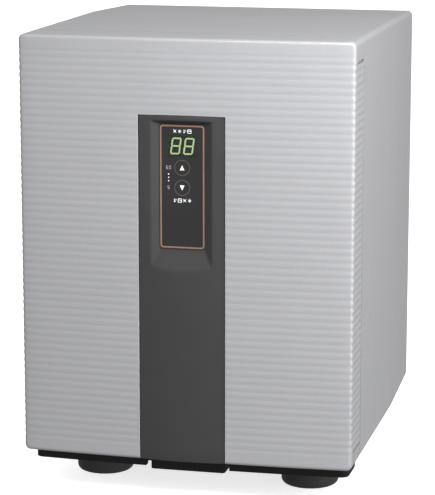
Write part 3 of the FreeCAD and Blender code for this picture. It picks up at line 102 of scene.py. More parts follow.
def ramp(tree, factor, stops):
    """A colour ramp with (place, colour) stops."""
    node = tree.nodes.new("ShaderNodeValToRGB")
    elements = node.color_ramp.elements
    while len(elements) < len(stops):
        elements.new(0.5)
    for element, (place, colour) in zip(elements, stops):
        element.position = place
        element.color = (*colour, 1)
    link(tree, factor, node.inputs["Fac"])
    return node.outputs["Color"]


def spread(tree, factor, low, high):
    """The range that most of a noise lies in, mapped to low..high."""
    node = tree.nodes.new("ShaderNodeMapRange")
    node.inputs["From Min"].default_value = NOISE_LOW
    node.inputs["From Max"].default_value = NOISE_HIGH
    node.inputs["To Min"].default_value = low
    node.inputs["To Max"].default_value = high
    link(tree, factor, node.inputs["Value"])
    return node.outputs["Result"]


def multiply(tree, first, second):
    node = tree.nodes.new("ShaderNodeMix")
    node.data_type = "RGBA"
    node.blend_type = "MULTIPLY"
    node.inputs[0].default_value = 1
    link(tree, first, node.inputs[6])
    link(tree, second, node.inputs[7])
    return node.outputs[2]


def bump(tree, height, depth, normal=None):
    """Raises the surface by up to depth metres where height is 1."""
    node = tree.nodes.new("ShaderNodeBump")
    node.inputs["Strength"].default_value = 1
    node.inputs["Distance"].default_value = depth
    link(tree, height, node.inputs["Height"])
    if normal is not None:
        link(tree, normal, node.inputs["Normal"])
    return node.outputs["Normal"]


def shade(colour, factor):
    return tuple(channel * factor for channel in colour)


def surface(name, colour, roughness, metallic=0.0, mottle=0.05, mottle_cell=0.03,
            grain_cell=0.0006, grain_depth=0.00002, stretch=(1, 1, 1), rough_swing=0.05,
            coat=0.0, specular=0.5):
    """A finished surface: mottled colour, uneven gloss and a fine raised grain."""
    material = bpy.data.materials.new(name)
    material.use_nodes = True
    tree = material.node_tree
    shader = tree.nodes["Principled BSDF"]
    shader.inputs["Metallic"].default_value = metallic
    shader.inputs["Specular IOR Level"].default_value = specular
    if coat:
        shader.inputs["Coat Weight"].default_value = coat
        shader.inputs["Coat Roughness"].default_value = 0.12
    patches = noise(tree, mottle_cell, 3)
    tint = ramp(tree, patches, [(NOISE_LOW, shade(colour, 1 - mottle)),
                                (NOISE_HIGH, shade(colour, 1 + mottle))])
    grain = noise(tree, grain_cell, 2, stretch)
    fine = ramp(tree, grain, [(NOISE_LOW, (1 - mottle,) * 3), (NOISE_HIGH, (1, 1, 1))])
    link(tree, multiply(tree, tint, fine), shader.inputs["Base Color"])
    low, high = roughness - rough_swing, roughness + rough_swing
    link(tree, spread(tree, patches, low, high), shader.inputs["Roughness"])
    link(tree, bump(tree, grain, grain_depth), shader.inputs["Normal"])
    return material


def silver_surface():
    """Silver paint: metal flakes under a satin lacquer, with a faint orange peel."""
    material = bpy.data.materials.new("silver_paint")
    material.use_nodes = True
    tree = material.node_tree
    shader = tree.nodes["Principled BSDF"]
    shader.inputs["Metallic"].default_value = 0.3
    shader.inputs["Coat Weight"].default_value = 0.2
    shader.inputs["Coat Roughness"].default_value = 0.16
    flakes = cells(tree, 0.00035, "Color")
    sparkle = ramp(tree, flakes, [(0.0, (0.90, 0.90, 0.91)), (1.0, (1.06, 1.06, 1.07))])
    haze = ramp(tree, noise(tree, 0.05, 3), [(NOISE_LOW, (0.392, 0.394, 0.406)),
                                             (NOISE_HIGH, (0.400, 0.402, 0.414))])
    link(tree, multiply(tree, haze, sparkle), shader.inputs["Base Color"])
    link(tree, spread(tree, noise(tree, 0.02, 3), 0.36, 0.43), shader.inputs["Roughness"])
    peel = bump(tree, noise(tree, 0.0012, 1), 0.000008)
    link(tree, bump(tree, flakes, 0.000003, peel), shader.inputs["Normal"])
    return material


def foam_surface():
    material = surface("insulation", (0.86, 0.78, 0.52), 0.85, mottle=0.08)
    tree = material.node_tree
    pores = bump(tree, cells(tree, 0.0009), 0.0003)
    link(tree, pores, tree.nodes["Principled BSDF"].inputs["Normal"])
    return material


def board_surface():
    """Solder mask with copper tracks showing through as a slightly lighter maze."""
    material = surface("solder_mask", (0.02, 0.16, 0.06), 0.35, mottle=0.1)
    tree = material.node_tree
    shader = tree.nodes["Principled BSDF"]
    brick = tree.nodes.new("ShaderNodeTexBrick")
    brick.inputs["Scale"].default_value = 220
    brick.inputs["Mortar Size"].default_value = 0.05
    brick.inputs["Color1"].default_value = (0.02, 0.15, 0.06, 1)
    brick.inputs["Color2"].default_value = (0.025, 0.18, 0.07, 1)
    brick.inputs["Mortar"].default_value = (0.07, 0.30, 0.14, 1)
    turn = tree.nodes.new("ShaderNodeMapping")
    turn.inputs["Rotation"].default_value = (math.pi / 2, 0, 0)
    link(tree, texture_space(tree), turn.inputs["Vector"])
    link(tree, turn.outputs["Vector"], brick.inputs["Vector"])
    link(tree, brick.outputs["Color"], shader.inputs["Base Color"])
    return material


def window_surface():
    """Smoked plastic that the lit digits shine through."""
    material = surface("smoked_plastic", (0.17, 0.19, 0.17), 0.03, mottle=0.02, rough_swing=0.01,
                       grain_depth=0.0)
    shader = material.node_tree.nodes["Principled BSDF"]
    shader.inputs["Transmission Weight"].default_value = 0.97
    shader.inputs["IOR"].default_value = 1.49
    shader.inputs["Specular IOR Level"].default_value = 0.1
    return material


def lit_surface():
    """Glowing segments, a little brighter in patches as real light pipes are."""
    material = surface("lit_segments", (0.25, 0.45, 0.12), 0.4)
    tree = material.node_tree
    shader = tree.nodes["Principled BSDF"]
    glow = ramp(tree, noise(tree, 0.002, 1), [(NOISE_LOW, (0.60, 0.80, 0.36)),
                                              (NOISE_HIGH, (0.72, 0.92, 0.46))])
    link(tree, glow, shader.inputs["Emission Color"])
    shader.inputs["Emission Strength"].default_value = 4.2
    return material


def copper_surface():
    """Copper-coloured ink, printed thinner and browner in the rings round the keys."""
    material = surface("copper_ink", (0.31, 0.175, 0.13), 0.45, metallic=0.35, mottle=0.06,
                       grain_cell=0.0005, grain_depth=0.000004)
    tree = material.node_tree
    shader = tree.nodes["Principled BSDF"]
    up_low, up_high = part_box("up_key")
    down_low, down_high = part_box("down_key")
    away = tree.nodes.new("ShaderNodeVectorMath")
    away.operation = "DISTANCE"
    away.inputs[1].default_value = (up_low + up_high + down_low + down_high) / 4
    link(tree, texture_space(tree), away.inputs[0])
    inside = tree.nodes.new("ShaderNodeMath")
    inside.operation = "LESS_THAN"
    inside.inputs[1].default_value = (up_high.z - down_low.z) / 2 + 2 * MM
    link(tree, away.outputs["Value"], inside.inputs[0])
    thin = ramp(tree, inside.outputs["Value"], [(0.0, (1, 1, 1)), (1.0, (0.44, 0.60, 0.68))])
    ink = shader.inputs["Base Color"].links[0].from_socket
    link(tree, multiply(tree, ink, thin), shader.inputs["Base Color"])
    return material


looks = {
    "silver_plastic": silver_surface(),
    "dark_trim": surface("dark_trim_paint", (0.040, 0.040, 0.0415), 0.5, mottle=0.03,
                         grain_cell=0.0004, grain_depth=0.000006, specular=0.25),
    "black_plastic": surface("black_texture", (0.008, 0.008, 0.0085), 0.6, mottle=0.1,
                             grain_cell=0.0007, grain_depth=0.00003, specular=0.2),
    "white_plastic": surface("white_moulding", (0.74, 0.75, 0.75), 0.32, mottle=0.015,
                             grain_cell=0.0012, grain_depth=0.00001, coat=0.1),
    "panel_black": surface("panel_film", (0.020, 0.020, 0.021), 0.6, mottle=0.04,
                           grain_cell=0.0003, grain_depth=0.000006, specular=0.25),
    "copper_line": copper_surface(),
    "smoked_window": window_surface(),
    "lit_digits": lit_surface(),
    "circuit_board": board_surface(),
    "bright_steel": surface("zinc_steel", (0.55, 0.55, 0.54), 0.34, metallic=1.0, mottle=0.08,
                            mottle_cell=0.006, stretch=(1, 1, 12), grain_cell=0.0008),
    "shelf_wire": surface("chrome_wire", (0.70, 0.70, 0.71), 0.14, metallic=1.0, mottle=0.03,
                          grain_cell=0.002, grain_depth=0.000004),
    "sink_metal": surface("extruded_aluminium", (0.62, 0.63, 0.65), 0.33, metallic=1.0,
                          mottle=0.05, stretch=(8, 8, 0.4), grain_cell=0.0009),
    "module_face": surface("ceramic_face", (0.80, 0.80, 0.77), 0.6, mottle=0.03),
    "foam": foam_surface(),
    "soft_seal": surface("grey_seal", (0.36, 0.37, 0.38), 0.62, mottle=0.06, grain_cell=0.0009,
                         grain_depth=0.00002),
    "foot_rubber": surface("foot_rubber_skin", (0.013, 0.013, 0.013), 0.5, mottle=0.12,
                           grain_cell=0.0011, grain_depth=0.00003),
}
white_ink = surface("white_ink", (0.85, 0.85, 0.86), 0.55, mottle=0.03, grain_cell=0.0003)
grey_ink = surface("grey_ink", (0.32, 0.32, 0.34), 0.55, mottle=0.04, grain_cell=0.0003)

digit_body = surface("digit_body", (0.0025, 0.003, 0.0025), 0.6, mottle=0.05, grain_cell=0.0005,
                     specular=0.1)
rear_sheet = surface("rear_sheet", (0.030, 0.030, 0.031), 0.55, mottle=0.06, grain_cell=0.0006,
                     grain_depth=0.00003)
gloss_black = surface("gloss_black", (0.010, 0.010, 0.011), 0.22, mottle=0.05, grain_cell=0.0009,
                      grain_depth=0.000004)
# pieces that look a little different from the rest of their slot
own_look = {"display_digits": digit_body, "rear_cover": rear_sheet, "ac_inlet": gloss_black,
            "power_rocker": gloss_black, "switch_housing": gloss_black}

for name, item in nodes.items():
    item.data.materials.clear()
    item.data.materials.append(own_look.get(name, looks[slot_of[name]]))


# ---- small helpers for meshes ----

def new_piece(name, vertices, faces, body=None, look=None, smooth_angle=None):
    """A mesh piece with one look that rides on a body. A cutter has neither."""
    mesh = bpy.data.meshes.new(name)
    mesh.from_pydata(vertices, [], faces)
    mesh.validate()
    mesh.materials.append(look)
    piece = bpy.data.objects.new(name, mesh)
    bpy.context.scene.collection.objects.link(piece)
    if body:
        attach(piece, body)
    if smooth_angle is not None:
        mesh.polygons.foreach_set("use_smooth", [True] * len(mesh.polygons))
        mesh.set_sharp_from_angle(angle=math.radians(smooth_angle))
    return piece


def flared_block(name, x, y, z, flare=(0, 0, 0, 0), flare_depth=0.0):
    """A cutting block whose front end opens out by flare: left, right, low, high."""
    sections = [(y[1], (0, 0, 0, 0)), (y[0] + flare_depth, (0, 0, 0, 0))]
    if flare_depth:
        sections.append((y[0], flare))
    vertices = []
    for depth, (left, right, low, high) in sections:
        vertices += [(x[0] - left, depth, z[0] - low), (x[1] + right, depth, z[0] - low),
                     (x[1] + right, depth, z[1] + high), (x[0] - left, depth, z[1] + high)]
    faces = [(3, 2, 1, 0)]
    count = len(vertices) // 4
    for section in range(count - 1):
        base = 4 * section
        for corner in range(4):
            following = (corner + 1) % 4
            faces.append((base + corner, base + following, base + 4 + following,
                          base + 4 + corner))
    last = 4 * (count - 1)
    faces.append((last, last + 1, last + 2, last + 3))
    return new_piece(name, vertices, faces)


def carve(piece, cutters, smooth_angle):
    """Cuts each cutter out of the piece for good and deletes the cutters."""
    for cutter in cutters:
        modifier = piece.modifiers.new("carve", "BOOLEAN")
        modifier.operation = "DIFFERENCE"
        modifier.solver = "MANIFOLD"
        modifier.object = cutter
    bpy.context.view_layer.update()
    depsgraph = bpy.context.evaluated_depsgraph_get()
    mesh = bpy.data.meshes.new_from_object(piece.evaluated_get(depsgraph))
    piece.modifiers.clear()
    piece.data = mesh
    for cutter in cutters:
        bpy.data.objects.remove(cutter)
    mesh.polygons.foreach_set("use_smooth", [True] * len(mesh.polygons))
    mesh.set_sharp_from_angle(angle=math.radians(smooth_angle))


def even(start, end, count):
    """count + 1 values from start to end."""
    return [start + (end - start) * step / count for step in range(count + 1)]


# ---- the door's ribbed outer panel ----

door_low, door_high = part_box("door_outer_panel")
HALF = door_high.x
BULGE = 4.9 * MM
BOW_RADIUS = (HALF ** 2 + BULGE ** 2) / (2 * BULGE)
LONG_EDGE = 5 * MM
FRONT_EDGE = 3 * MM
FACE_MARGIN = 4 * MM
EASE_WIDTH = 12 * MM
EASE_DEPTH = 0.8 * MM
COLUMNS = 48
ARC_STEPS = 6
REAR_STEPS = 3
SIDE_SHARES = (0.3, 0.6, 0.85, 0.93, 1.0)
REAR_EDGE = 1 * MM
WALL = 2.5 * MM
INNER_PLANE = door_low.y + 6.7 * MM
RIB_PITCH = 6.8 * MM
RIB_DEPTH = 0.23 * MM
SIDE_RIB_DEPTH = 0.55 * MM
ROWS_PER_RIB = 8
RIB_CREST = 0.015
RIB_FADE_BOTTOM = (8 * MM, 12 * MM)
RIB_FADE_TOP = (11 * MM, 15 * MM)
RIB_FADE_REAR = (1.5 * MM, 3.5 * MM)
HINGED_SIDE_RIBS = (door_low.z + 17 * MM, door_high.z - 21 * MM)
ZONE_FADE = 1 * MM


def bow(x):
    """How far the bowed front lies behind its crown at x, easing back near the long edges."""
    eased = max(0.0, abs(x) - HALF + EASE_WIDTH) / EASE_WIDTH
    return BOW_RADIUS - math.sqrt(BOW_RADIUS ** 2 - x ** 2) + EASE_DEPTH * eased * eased


def fade(value, start, end):
    """A smooth step from 0 at start to 1 at end."""
    share = min(1.0, max(0.0, (value - start) / (end - start)))
    return share * share * (3 - 2 * share)


def rib_depth(x, y, z, sideways):
    """How deep the surface lies under the rib crests. sideways is 1 on the side faces.

    The hinged side has ribs only between its hinges.
    """
    wave = math.sin(math.pi * (z - door_high.z) / RIB_PITCH)
    groove = 1 - math.sqrt(wave * wave + RIB_CREST) / math.sqrt(1 + RIB_CREST)
    ends = fade(z - door_low.z, *RIB_FADE_BOTTOM)
    ends *= fade(door_high.z - z, *RIB_FADE_TOP)
    ends *= fade(door_high.y - y, *RIB_FADE_REAR)
    if x > 0 and sideways > 0:
        low, high = HINGED_SIDE_RIBS
        zone = fade(z - low, -ZONE_FADE, ZONE_FADE) * fade(high - z, -ZONE_FADE, ZONE_FADE)
        ends *= 1 - sideways * (1 - zone)
    depth = RIB_DEPTH + (SIDE_RIB_DEPTH - RIB_DEPTH) * sideways
    return depth * groove * ends


def door_shell():
    rows = round((door_high.z - door_low.z - 2 * LONG_EDGE) / RIB_PITCH * ROWS_PER_RIB)
    heights = even(door_low.z + LONG_EDGE, door_high.z - LONG_EDGE, rows)
    across = even(-HALF + LONG_EDGE, HALF - LONG_EDGE, COLUMNS)
    vertices = []
    for z in heights:
        for x in across:
            y = door_low.y + bow(x)
            vertices.append((x, y + rib_depth(x, y, z, 0), z))
    wide = COLUMNS + 1
    faces = []
    for row in range(rows):
        for column in range(COLUMNS):
            first = row * wide + column
            faces.append((first, first + 1, first + wide + 1, first + wide))
    # the outline as (corner-centre x, z, outward x, z, vertex of the front grid)
    outline = []
    arc = [math.pi / 2 * step / ARC_STEPS for step in range(1, ARC_STEPS)]
    last = rows * wide
    outline += [(across[0], heights[row], -1, 0, row * wide) for row in range(rows + 1)]
    outline += [(across[0], heights[-1], -math.cos(a), math.sin(a), last) for a in arc]
    outline += [(across[column], heights[-1], 0, 1, last + column) for column in range(wide)]
    outline += [(across[-1], heights[-1], math.sin(a), math.cos(a), last + COLUMNS) for a in arc]
    outline += [(across[-1], heights[row], 1, 0, row * wide + COLUMNS)
                for row in reversed(range(rows + 1))]
    outline += [(across[-1], heights[0], math.cos(a), -math.sin(a), COLUMNS) for a in arc]
    outline += [(across[column], heights[0], 0, -1, column) for column in reversed(range(wide))]
    outline += [(across[0], heights[0], -math.sin(a), -math.cos(a), 0) for a in arc]
    # each loop: inset from the outer face, y as a function of x, and how far it faces sideways
    loops = [(FACE_MARGIN, lambda x: door_low.y + bow(x), 0)]
    for angle in even(0, math.pi / 2, ARC_STEPS):
        drop = FRONT_EDGE * (1 - math.cos(angle))
        loops.append((FRONT_EDGE * (1 - math.sin(angle)),
                      lambda x, drop=drop: door_low.y + bow(x) + drop, math.sin(angle)))
    rear = door_high.y - REAR_EDGE
    for share in SIDE_SHARES:
        loops.append((0, lambda x, share=share: (1 - share) * (door_low.y + bow(x) + FRONT_EDGE)
                      + share * rear, 1))
    for angle in even(0, math.pi / 2, REAR_STEPS)[1:]:
        loops.append((REAR_EDGE * (1 - math.cos(angle)),
                      lambda x, angle=angle: rear + REAR_EDGE * math.sin(angle), 1))
    loops.append((WALL, lambda x: door_high.y, 1))
    loops.append((WALL, lambda x: INNER_PLANE, 1))
    previous = [corner[4] for corner in outline]
    count = len(outline)
    for inset, depth, sideways in loops:
        current = []
        for x0, z0, out_x, out_z, _ in outline:
            x = x0 + out_x * (LONG_EDGE - inset)
            z = z0 + out_z * (LONG_EDGE - inset)
            y = depth(x)
            groove = rib_depth(x, y, z, sideways) if inset < WALL or y < INNER_PLANE else 0
            facing = math.sqrt(1 - sideways * sideways)
            current.append(len(vertices))
            vertices.append((x - out_x * sideways * groove, y + facing * groove,
                             z - out_z * sideways * groove))
        for place in range(count):
            following = (place + 1) % count
            corners = [previous[place], previous[following], current[following], current[place]]
            faces.append(tuple(dict.fromkeys(corners)))
        previous = current
    faces.append(tuple(previous))
    return new_piece("door_ribbed_panel", vertices, faces, "door", looks["silver_plastic"],
                     40)


STRIP_GAP = 0.3 * MM
strip_low, strip_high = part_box("trim_strip")
overlay_low, overlay_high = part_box("control_overlay")
board_low, board_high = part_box("display_board")
FLARE = 2.7 * MM
CHANNEL_DEPTH = 3.9 * MM
CHANNEL_AHEAD = 2 * MM
CHANNEL_BELOW = 4 * MM
BAY_SIDE = 9 * MM
BAY_END = 8 * MM
OVERSHOOT = 1 * MM
SLOT_HALF = 1.3 * MM
SLOT_REACH = 16 * MM
SLOT_AHEAD = 14.5 * MM
PIN_TIP = 1 * MM
REBATE_GAP = 0.1 * MM

door = door_shell()
channel_floor = door_low.y + CHANNEL_DEPTH
channel = flared_block(
    "channel", (strip_low.x - STRIP_GAP, strip_high.x + STRIP_GAP),
    (door_low.y - CHANNEL_AHEAD, channel_floor),
    (door_low.z - CHANNEL_BELOW, strip_high.z + STRIP_GAP),
    (FLARE, FLARE, 0, FLARE), FLARE)
bay = flared_block("bay", (board_low.x - BAY_SIDE, board_high.x + BAY_SIDE),
                   (channel_floor - OVERSHOOT, INNER_PLANE + OVERSHOOT),
                   (board_low.z - BAY_END, board_high.z + BAY_END))
cutters = [channel, bay]
pins_low, pins_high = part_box("hinge_pins")
pin_y = (pins_low.y + pins_high.y) / 2
for side in ("top", "bottom"):
    ear_low, ear_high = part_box(f"hinge_bracket_{side}")
    middle = pins_high.z - PIN_TIP if side == "top" else pins_low.z + PIN_TIP
    cutters.append(flared_block(
        f"slot_{side}", (ear_high.x - SLOT_REACH, HALF + OVERSHOOT),
        (pin_y - SLOT_AHEAD, door_high.y + OVERSHOOT),
        (middle - SLOT_HALF, middle + SLOT_HALF)))
    cover_low, cover_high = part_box(f"hinge_cover_{side}")
    cutters.append(flared_block(
        f"rebate_{side}", (cover_low.x, HALF + OVERSHOOT),
        (cover_low.y - REBATE_GAP, cover_high.y + REBATE_GAP),
        (cover_low.z - REBATE_GAP, cover_high.z + REBATE_GAP)))
carve(door, cutters, 40)
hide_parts("door_outer_panel")


# ---- the dark trim strip with its sunken bay ----

STRIP_RADIUS = 290 * MM
STRIP_THICK = 2 * MM
STRIP_EDGE = 0.7 * MM
RECESS_HALF = 30.5 * MM
RECESS_FLOOR_HALF = 21 * MM
RECESS_TOP = (353.5 * MM, 350.5 * MM)
RECESS_BOTTOM = (216.3 * MM, 235.3 * MM)
SOFTNESS = 0.5 * MM
BAY_REACH = 3 * MM
FINE_STEPS = (0, 0.06 * MM, 0.18 * MM, 0.35 * MM)
ACROSS_STEP = 0.65 * MM
UP_STEP = 0.8 * MM
PLAIN_STEP = 12 * MM
FINE_BELOW_BAY = 8 * MM
HOLE_AHEAD = 3 * MM
HOLE_BEYOND = 6 * MM
WINDOW_GAP = 0.1 * MM
KEY_GAP = 0.2 * MM
strip_middle = (strip_low.x + strip_high.x) / 2
strip_crown = cad_low.y
recess_floor = overlay_high.y
recess_depth = recess_floor - strip_crown


def soft_max(first, second):
    return (first + second + math.hypot(first - second, SOFTNESS)) / 2


def soft_min(first, second):
    return (first + second - math.hypot(first - second, SOFTNESS)) / 2


def strip_y(x, z):
    """The strip's front face: a cylinder with a bay that slopes down to a flat floor."""
    off = abs(x - strip_middle)
    plain = strip_crown + STRIP_RADIUS - math.sqrt(STRIP_RADIUS ** 2 - off ** 2)
    side = recess_floor - (off - RECESS_FLOOR_HALF) * recess_depth / (RECESS_HALF - RECESS_FLOOR_HALF)
    top = recess_floor - (z - RECESS_TOP[1]) * recess_depth / (RECESS_TOP[0] - RECESS_TOP[1])
    low = recess_floor - (RECESS_BOTTOM[1] - z) * recess_depth / (RECESS_BOTTOM[1] - RECESS_BOTTOM[0])
    bay_face = soft_min(soft_min(side, recess_floor), soft_min(top, low))
    y = soft_max(plain, bay_face) if bay_face > plain - BAY_REACH else plain
    near = min(strip_high.x - x, x - strip_low.x, strip_high.z - z, z - strip_low.z)
    if near < STRIP_EDGE:
        y += STRIP_EDGE - math.sqrt(max(0, STRIP_EDGE ** 2 - (STRIP_EDGE - near) ** 2))
    return y


def with_fine_ends(start, end, step):
    """Values from start to end, closer together within the rounded edges."""
    inner = even(start + STRIP_EDGE, end - STRIP_EDGE, round((end - start) / step))
    return [start + d for d in FINE_STEPS] + inner + [end - d for d in reversed(FINE_STEPS)]


def strip_piece():
    across = with_fine_ends(strip_low.x, strip_high.x, ACROSS_STEP)
    fine_from = RECESS_BOTTOM[0] - FINE_BELOW_BAY
    rows = with_fine_ends(strip_low.z, strip_high.z, UP_STEP)
    kept, last_plain = [], rows[0] - 1
    for z in rows:
        plain = strip_low.z + STRIP_EDGE < z < fine_from
        if not plain or z - last_plain > PLAIN_STEP:
            kept.append(z)
            last_plain = z
    wide = len(across)
    vertices = [(x, strip_y(x, z), z) for z in kept for x in across]
    layer = len(vertices)
    back = strip_y(strip_low.x + STRIP_EDGE, strip_low.z + 20 * MM) + STRIP_THICK
    vertices += [(x, max(back, y + STRIP_THICK - STRIP_EDGE), z) for x, y, z in vertices[:layer]]
    faces = []
    for row in range(len(kept) - 1):
        for column in range(wide - 1):
            first = row * wide + column
            quad = (first, first + 1, first + wide + 1, first + wide)
            faces.append(quad)
            faces.append(tuple(layer + corner for corner in reversed(quad)))
    border = list(range(wide))
    border += [row * wide + wide - 1 for row in range(1, len(kept))]
    border += [(len(kept) - 1) * wide + column for column in reversed(range(wide - 1))]
    border += [row * wide for row in reversed(range(1, len(kept) - 1))]
    for place, corner in enumerate(border):
        following = border[(place + 1) % len(border)]
        faces.append((corner, layer + corner, layer + following, following))
    return new_piece("trim_strip_face", vertices, faces, "door", looks["dark_trim"], 50)


strip = strip_piece()
hole_depth = (recess_floor - HOLE_AHEAD, recess_floor + HOLE_BEYOND)
window_low, window_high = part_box("display_window")
strip_cutters = [flared_block(
    "window_hole", (window_low.x - WINDOW_GAP, window_high.x + WINDOW_GAP), hole_depth,
    (window_low.z - WINDOW_GAP, window_high.z + WINDOW_GAP))]


def round_cutter(name, x, y, z, radius, sides=48):
    """A cutting rod along y."""
    turns = [2 * math.pi * step / sides for step in range(sides)]
    vertices = [(x + radius * math.cos(a), depth, z + radius * math.sin(a))
                for depth in y for a in turns]
    faces = [tuple(range(sides)), tuple(reversed(range(sides, 2 * sides)))]
    for step in range(sides):
        following = (step + 1) % sides
        faces.append((step, sides + step, sides + following, following))
    return new_piece(name, vertices, faces)


for key in ("up_key", "down_key"):
    key_low, key_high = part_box(key)
    centre = (key_low + key_high) / 2
    strip_cutters.append(round_cutter(f"{key}_hole", centre.x, hole_depth, centre.z,
                                      key_high.x - centre.x + KEY_GAP))
carve(strip, strip_cutters, 50)
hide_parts("trim_strip")


# ---- lit digits, key arrows and printed marks ----

INK_PROUD = 0.06 * MM
INK_DEEP = 0.04 * MM
DIGIT_HEIGHT = 15.3 * MM
DIGIT_WIDTH = 9.0 * MM
DIGIT_STROKE = 1.4 * MM
DIGIT_PITCH = 12.0 * MM
DIGIT_LEAN = math.tan(math.radians(8))
SEGMENT_FRONT = 0.12 * MM
SEGMENT_BACK = 0.02 * MM
MARK = 3.2 * MM
MARK_PITCH = 4.5 * MM
MARK_STROKE = 0.55 * MM
ARROW_HALF_WIDTH = 2.2 * MM
ARROW_HEIGHT = 4.6 * MM
SEGMENTS = {"0": "abcdef", "5": "acdfg", "6": "acdefg", "8": "abcdefg"}


def plates(name, outlines, y, body, look):
    """Thin flat plates from convex (x, z) outlines that run anticlockwise from the front."""
    vertices, faces = [], []
    for outline in outlines:
        base, count = len(vertices), len(outline)
        vertices += [(x, depth, z) for depth in y for x, z in outline]
        faces.append(tuple(range(base, base + count)))
        faces.append(tuple(reversed(range(base + count, base + 2 * count))))
        for corner in range(count):
            here, following = base + corner, base + (corner + 1) % count
            faces.append((following, here, here + count, following + count))
    return new_piece(name, vertices, faces, body, look)


def bar(start, end, stroke):
    """A straight stroke with pointed ends."""
    along_x, along_z = end[0] - start[0], end[1] - start[1]
    length = math.hypot(along_x, along_z)
    ux, uz = along_x / length * stroke / 2, along_z / length * stroke / 2
    return [start, (start[0] + ux + uz, start[1] + uz - ux), (end[0] - ux + uz, end[1] - uz - ux),
            end, (end[0] - ux - uz, end[1] - uz + ux), (start[0] + ux - uz, start[1] + uz + ux)]


def disc(x, z, radius, sides=16):
    return [(x + radius * math.cos(2 * math.pi * step / sides),
             z + radius * math.sin(2 * math.pi * step / sides)) for step in range(sides)]


def numeral(digit, x, z, width, height, stroke, lean=0.0):
    """The lit bars of a seven-segment numeral centred at x, z."""
    half, tall = (width - stroke) / 2, (height - stroke) / 2
    ends = {"a": ((-half, tall), (half, tall)), "b": ((half, 0), (half, tall)),
            "c": ((half, -tall), (half, 0)), "d": ((-half, -tall), (half, -tall)),
            "e": ((-half, -tall), (-half, 0)), "f": ((-half, 0), (-half, tall)),
            "g": ((-half, 0), (half, 0))}
    bars = [bar(*ends[segment], stroke) for segment in SEGMENTS[digit]]
    return [[(x + across + up * lean, z + up) for across, up in outline] for outline in bars]


def flake(x, z):
    """A cold mark: three crossed strokes."""
    arms = [math.pi / 2, math.pi / 6, -math.pi / 6]
    reach = MARK / 2
    return [bar((x - reach * math.cos(a), z - reach * math.sin(a)),
                (x + reach * math.cos(a), z + reach * math.sin(a)), MARK_STROKE) for a in arms]


def sun(x, z):
    """A warm mark: a disc with four rays."""
    rays = [math.pi / 4 + math.pi / 2 * step for step in range(4)]
    near, far = MARK * 0.36, MARK * 0.62
    return [disc(x, z, MARK * 0.3)] + [
        bar((x + near * math.cos(a), z + near * math.sin(a)),
            (x + far * math.cos(a), z + far * math.sin(a)), MARK_STROKE) for a in rays]


def thermometer(x, z):
    """A stem on a bulb, with two ticks."""
    ticks = [bar((x + MARK * 0.15, z + MARK * up), (x + MARK * 0.45, z + MARK * up), MARK_STROKE)
             for up in (0.05, 0.32)]
    return [disc(x - MARK * 0.12, z - MARK * 0.3, MARK * 0.22),
            bar((x - MARK * 0.12, z - MARK * 0.3), (x - MARK * 0.12, z + MARK * 0.5), MARK * 0.22)] + ticks


def crate(x, z):
    """A box with a lid line."""
    half = MARK / 2
    corners = [(x - half, z - half), (x + half, z - half), (x + half, z + half), (x - half, z + half)]
    sides = [bar(corners[number], corners[(number + 1) % 4], MARK_STROKE) for number in range(4)]
    return sides + [bar((x - half, z + MARK * 0.1), (x + half, z + MARK * 0.1), MARK_STROKE)]


def mark_row(marks, x, z):
    start = x - MARK_PITCH * (len(marks) - 1) / 2
    return [outline for place, mark in enumerate(marks)
            for outline in mark(start + MARK_PITCH * place, z)]


digits_low, digits_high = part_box("display_digits")
digits_x = (digits_low.x + digits_high.x) / 2
window_z = (window_low.z + window_high.z) / 2
digit_plates = []
for side in (-0.5, 0.5):
    digit_plates += numeral("8", digits_x + side * DIGIT_PITCH, window_z, DIGIT_WIDTH, DIGIT_HEIGHT,
                            DIGIT_STROKE, DIGIT_LEAN)
plates("digit_segments", digit_plates, (digits_low.y - SEGMENT_FRONT, digits_low.y - SEGMENT_BACK),
       "door", looks["lit_digits"])

key_centres = {}
for key, way in (("up_key", 1), ("down_key", -1)):
    key_low, key_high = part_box(key)
    middle = (key_low + key_high) / 2
    key_centres[key] = middle
    tip = middle.z + way * ARROW_HEIGHT / 2
    foot = middle.z - way * ARROW_HEIGHT / 2
    arrow = [(middle.x - way * ARROW_HALF_WIDTH, foot), (middle.x + way * ARROW_HALF_WIDTH, foot),
             (middle.x, tip)]
    plates(f"{key}_arrow", [arrow], (key_low.y - INK_PROUD, key_low.y + INK_DEEP), key, white_ink)

up_z, down_z = key_centres["up_key"].z, key_centres["down_key"].z
SCALE_X = strip_middle - 12.6 * MM
NUMERAL_WIDTH = 2 * MM
NUMERAL_STROKE = 0.45 * MM
NUMERAL_OFFSET = 1.4 * MM
DOT_RADIUS = 0.6 * MM
DOT_SHARES = (0.33, 0.5, 0.67)
TOP_ROW_RISE = 4.2 * MM
LOW_ROW_DROP = 11.6 * MM
numerals = numeral("6", SCALE_X - NUMERAL_OFFSET, up_z, NUMERAL_WIDTH, MARK, NUMERAL_STROKE)
numerals += numeral("0", SCALE_X + NUMERAL_OFFSET, up_z, NUMERAL_WIDTH, MARK, NUMERAL_STROKE)
numerals += numeral("5", SCALE_X, down_z, NUMERAL_WIDTH, MARK, NUMERAL_STROKE)
dots = [disc(SCALE_X, up_z + (down_z - up_z) * share, DOT_RADIUS) for share in DOT_SHARES]
print_depth = (overlay_low.y - INK_PROUD, overlay_low.y + INK_DEEP)
top_row = mark_row([sun, flake, thermometer, crate], strip_middle, window_high.z + TOP_ROW_RISE)
low_row = mark_row([thermometer, crate, sun, flake], strip_middle, down_z - LOW_ROW_DROP)
for name, outlines, ink in (("top_marks", top_row, white_ink), ("low_marks", low_row, white_ink),
                            ("scale_numerals", numerals, grey_ink), ("scale_dots", dots, white_ink)):
    plates(name, outlines, print_depth, "door", ink)


# ---- stage, light and camera ----

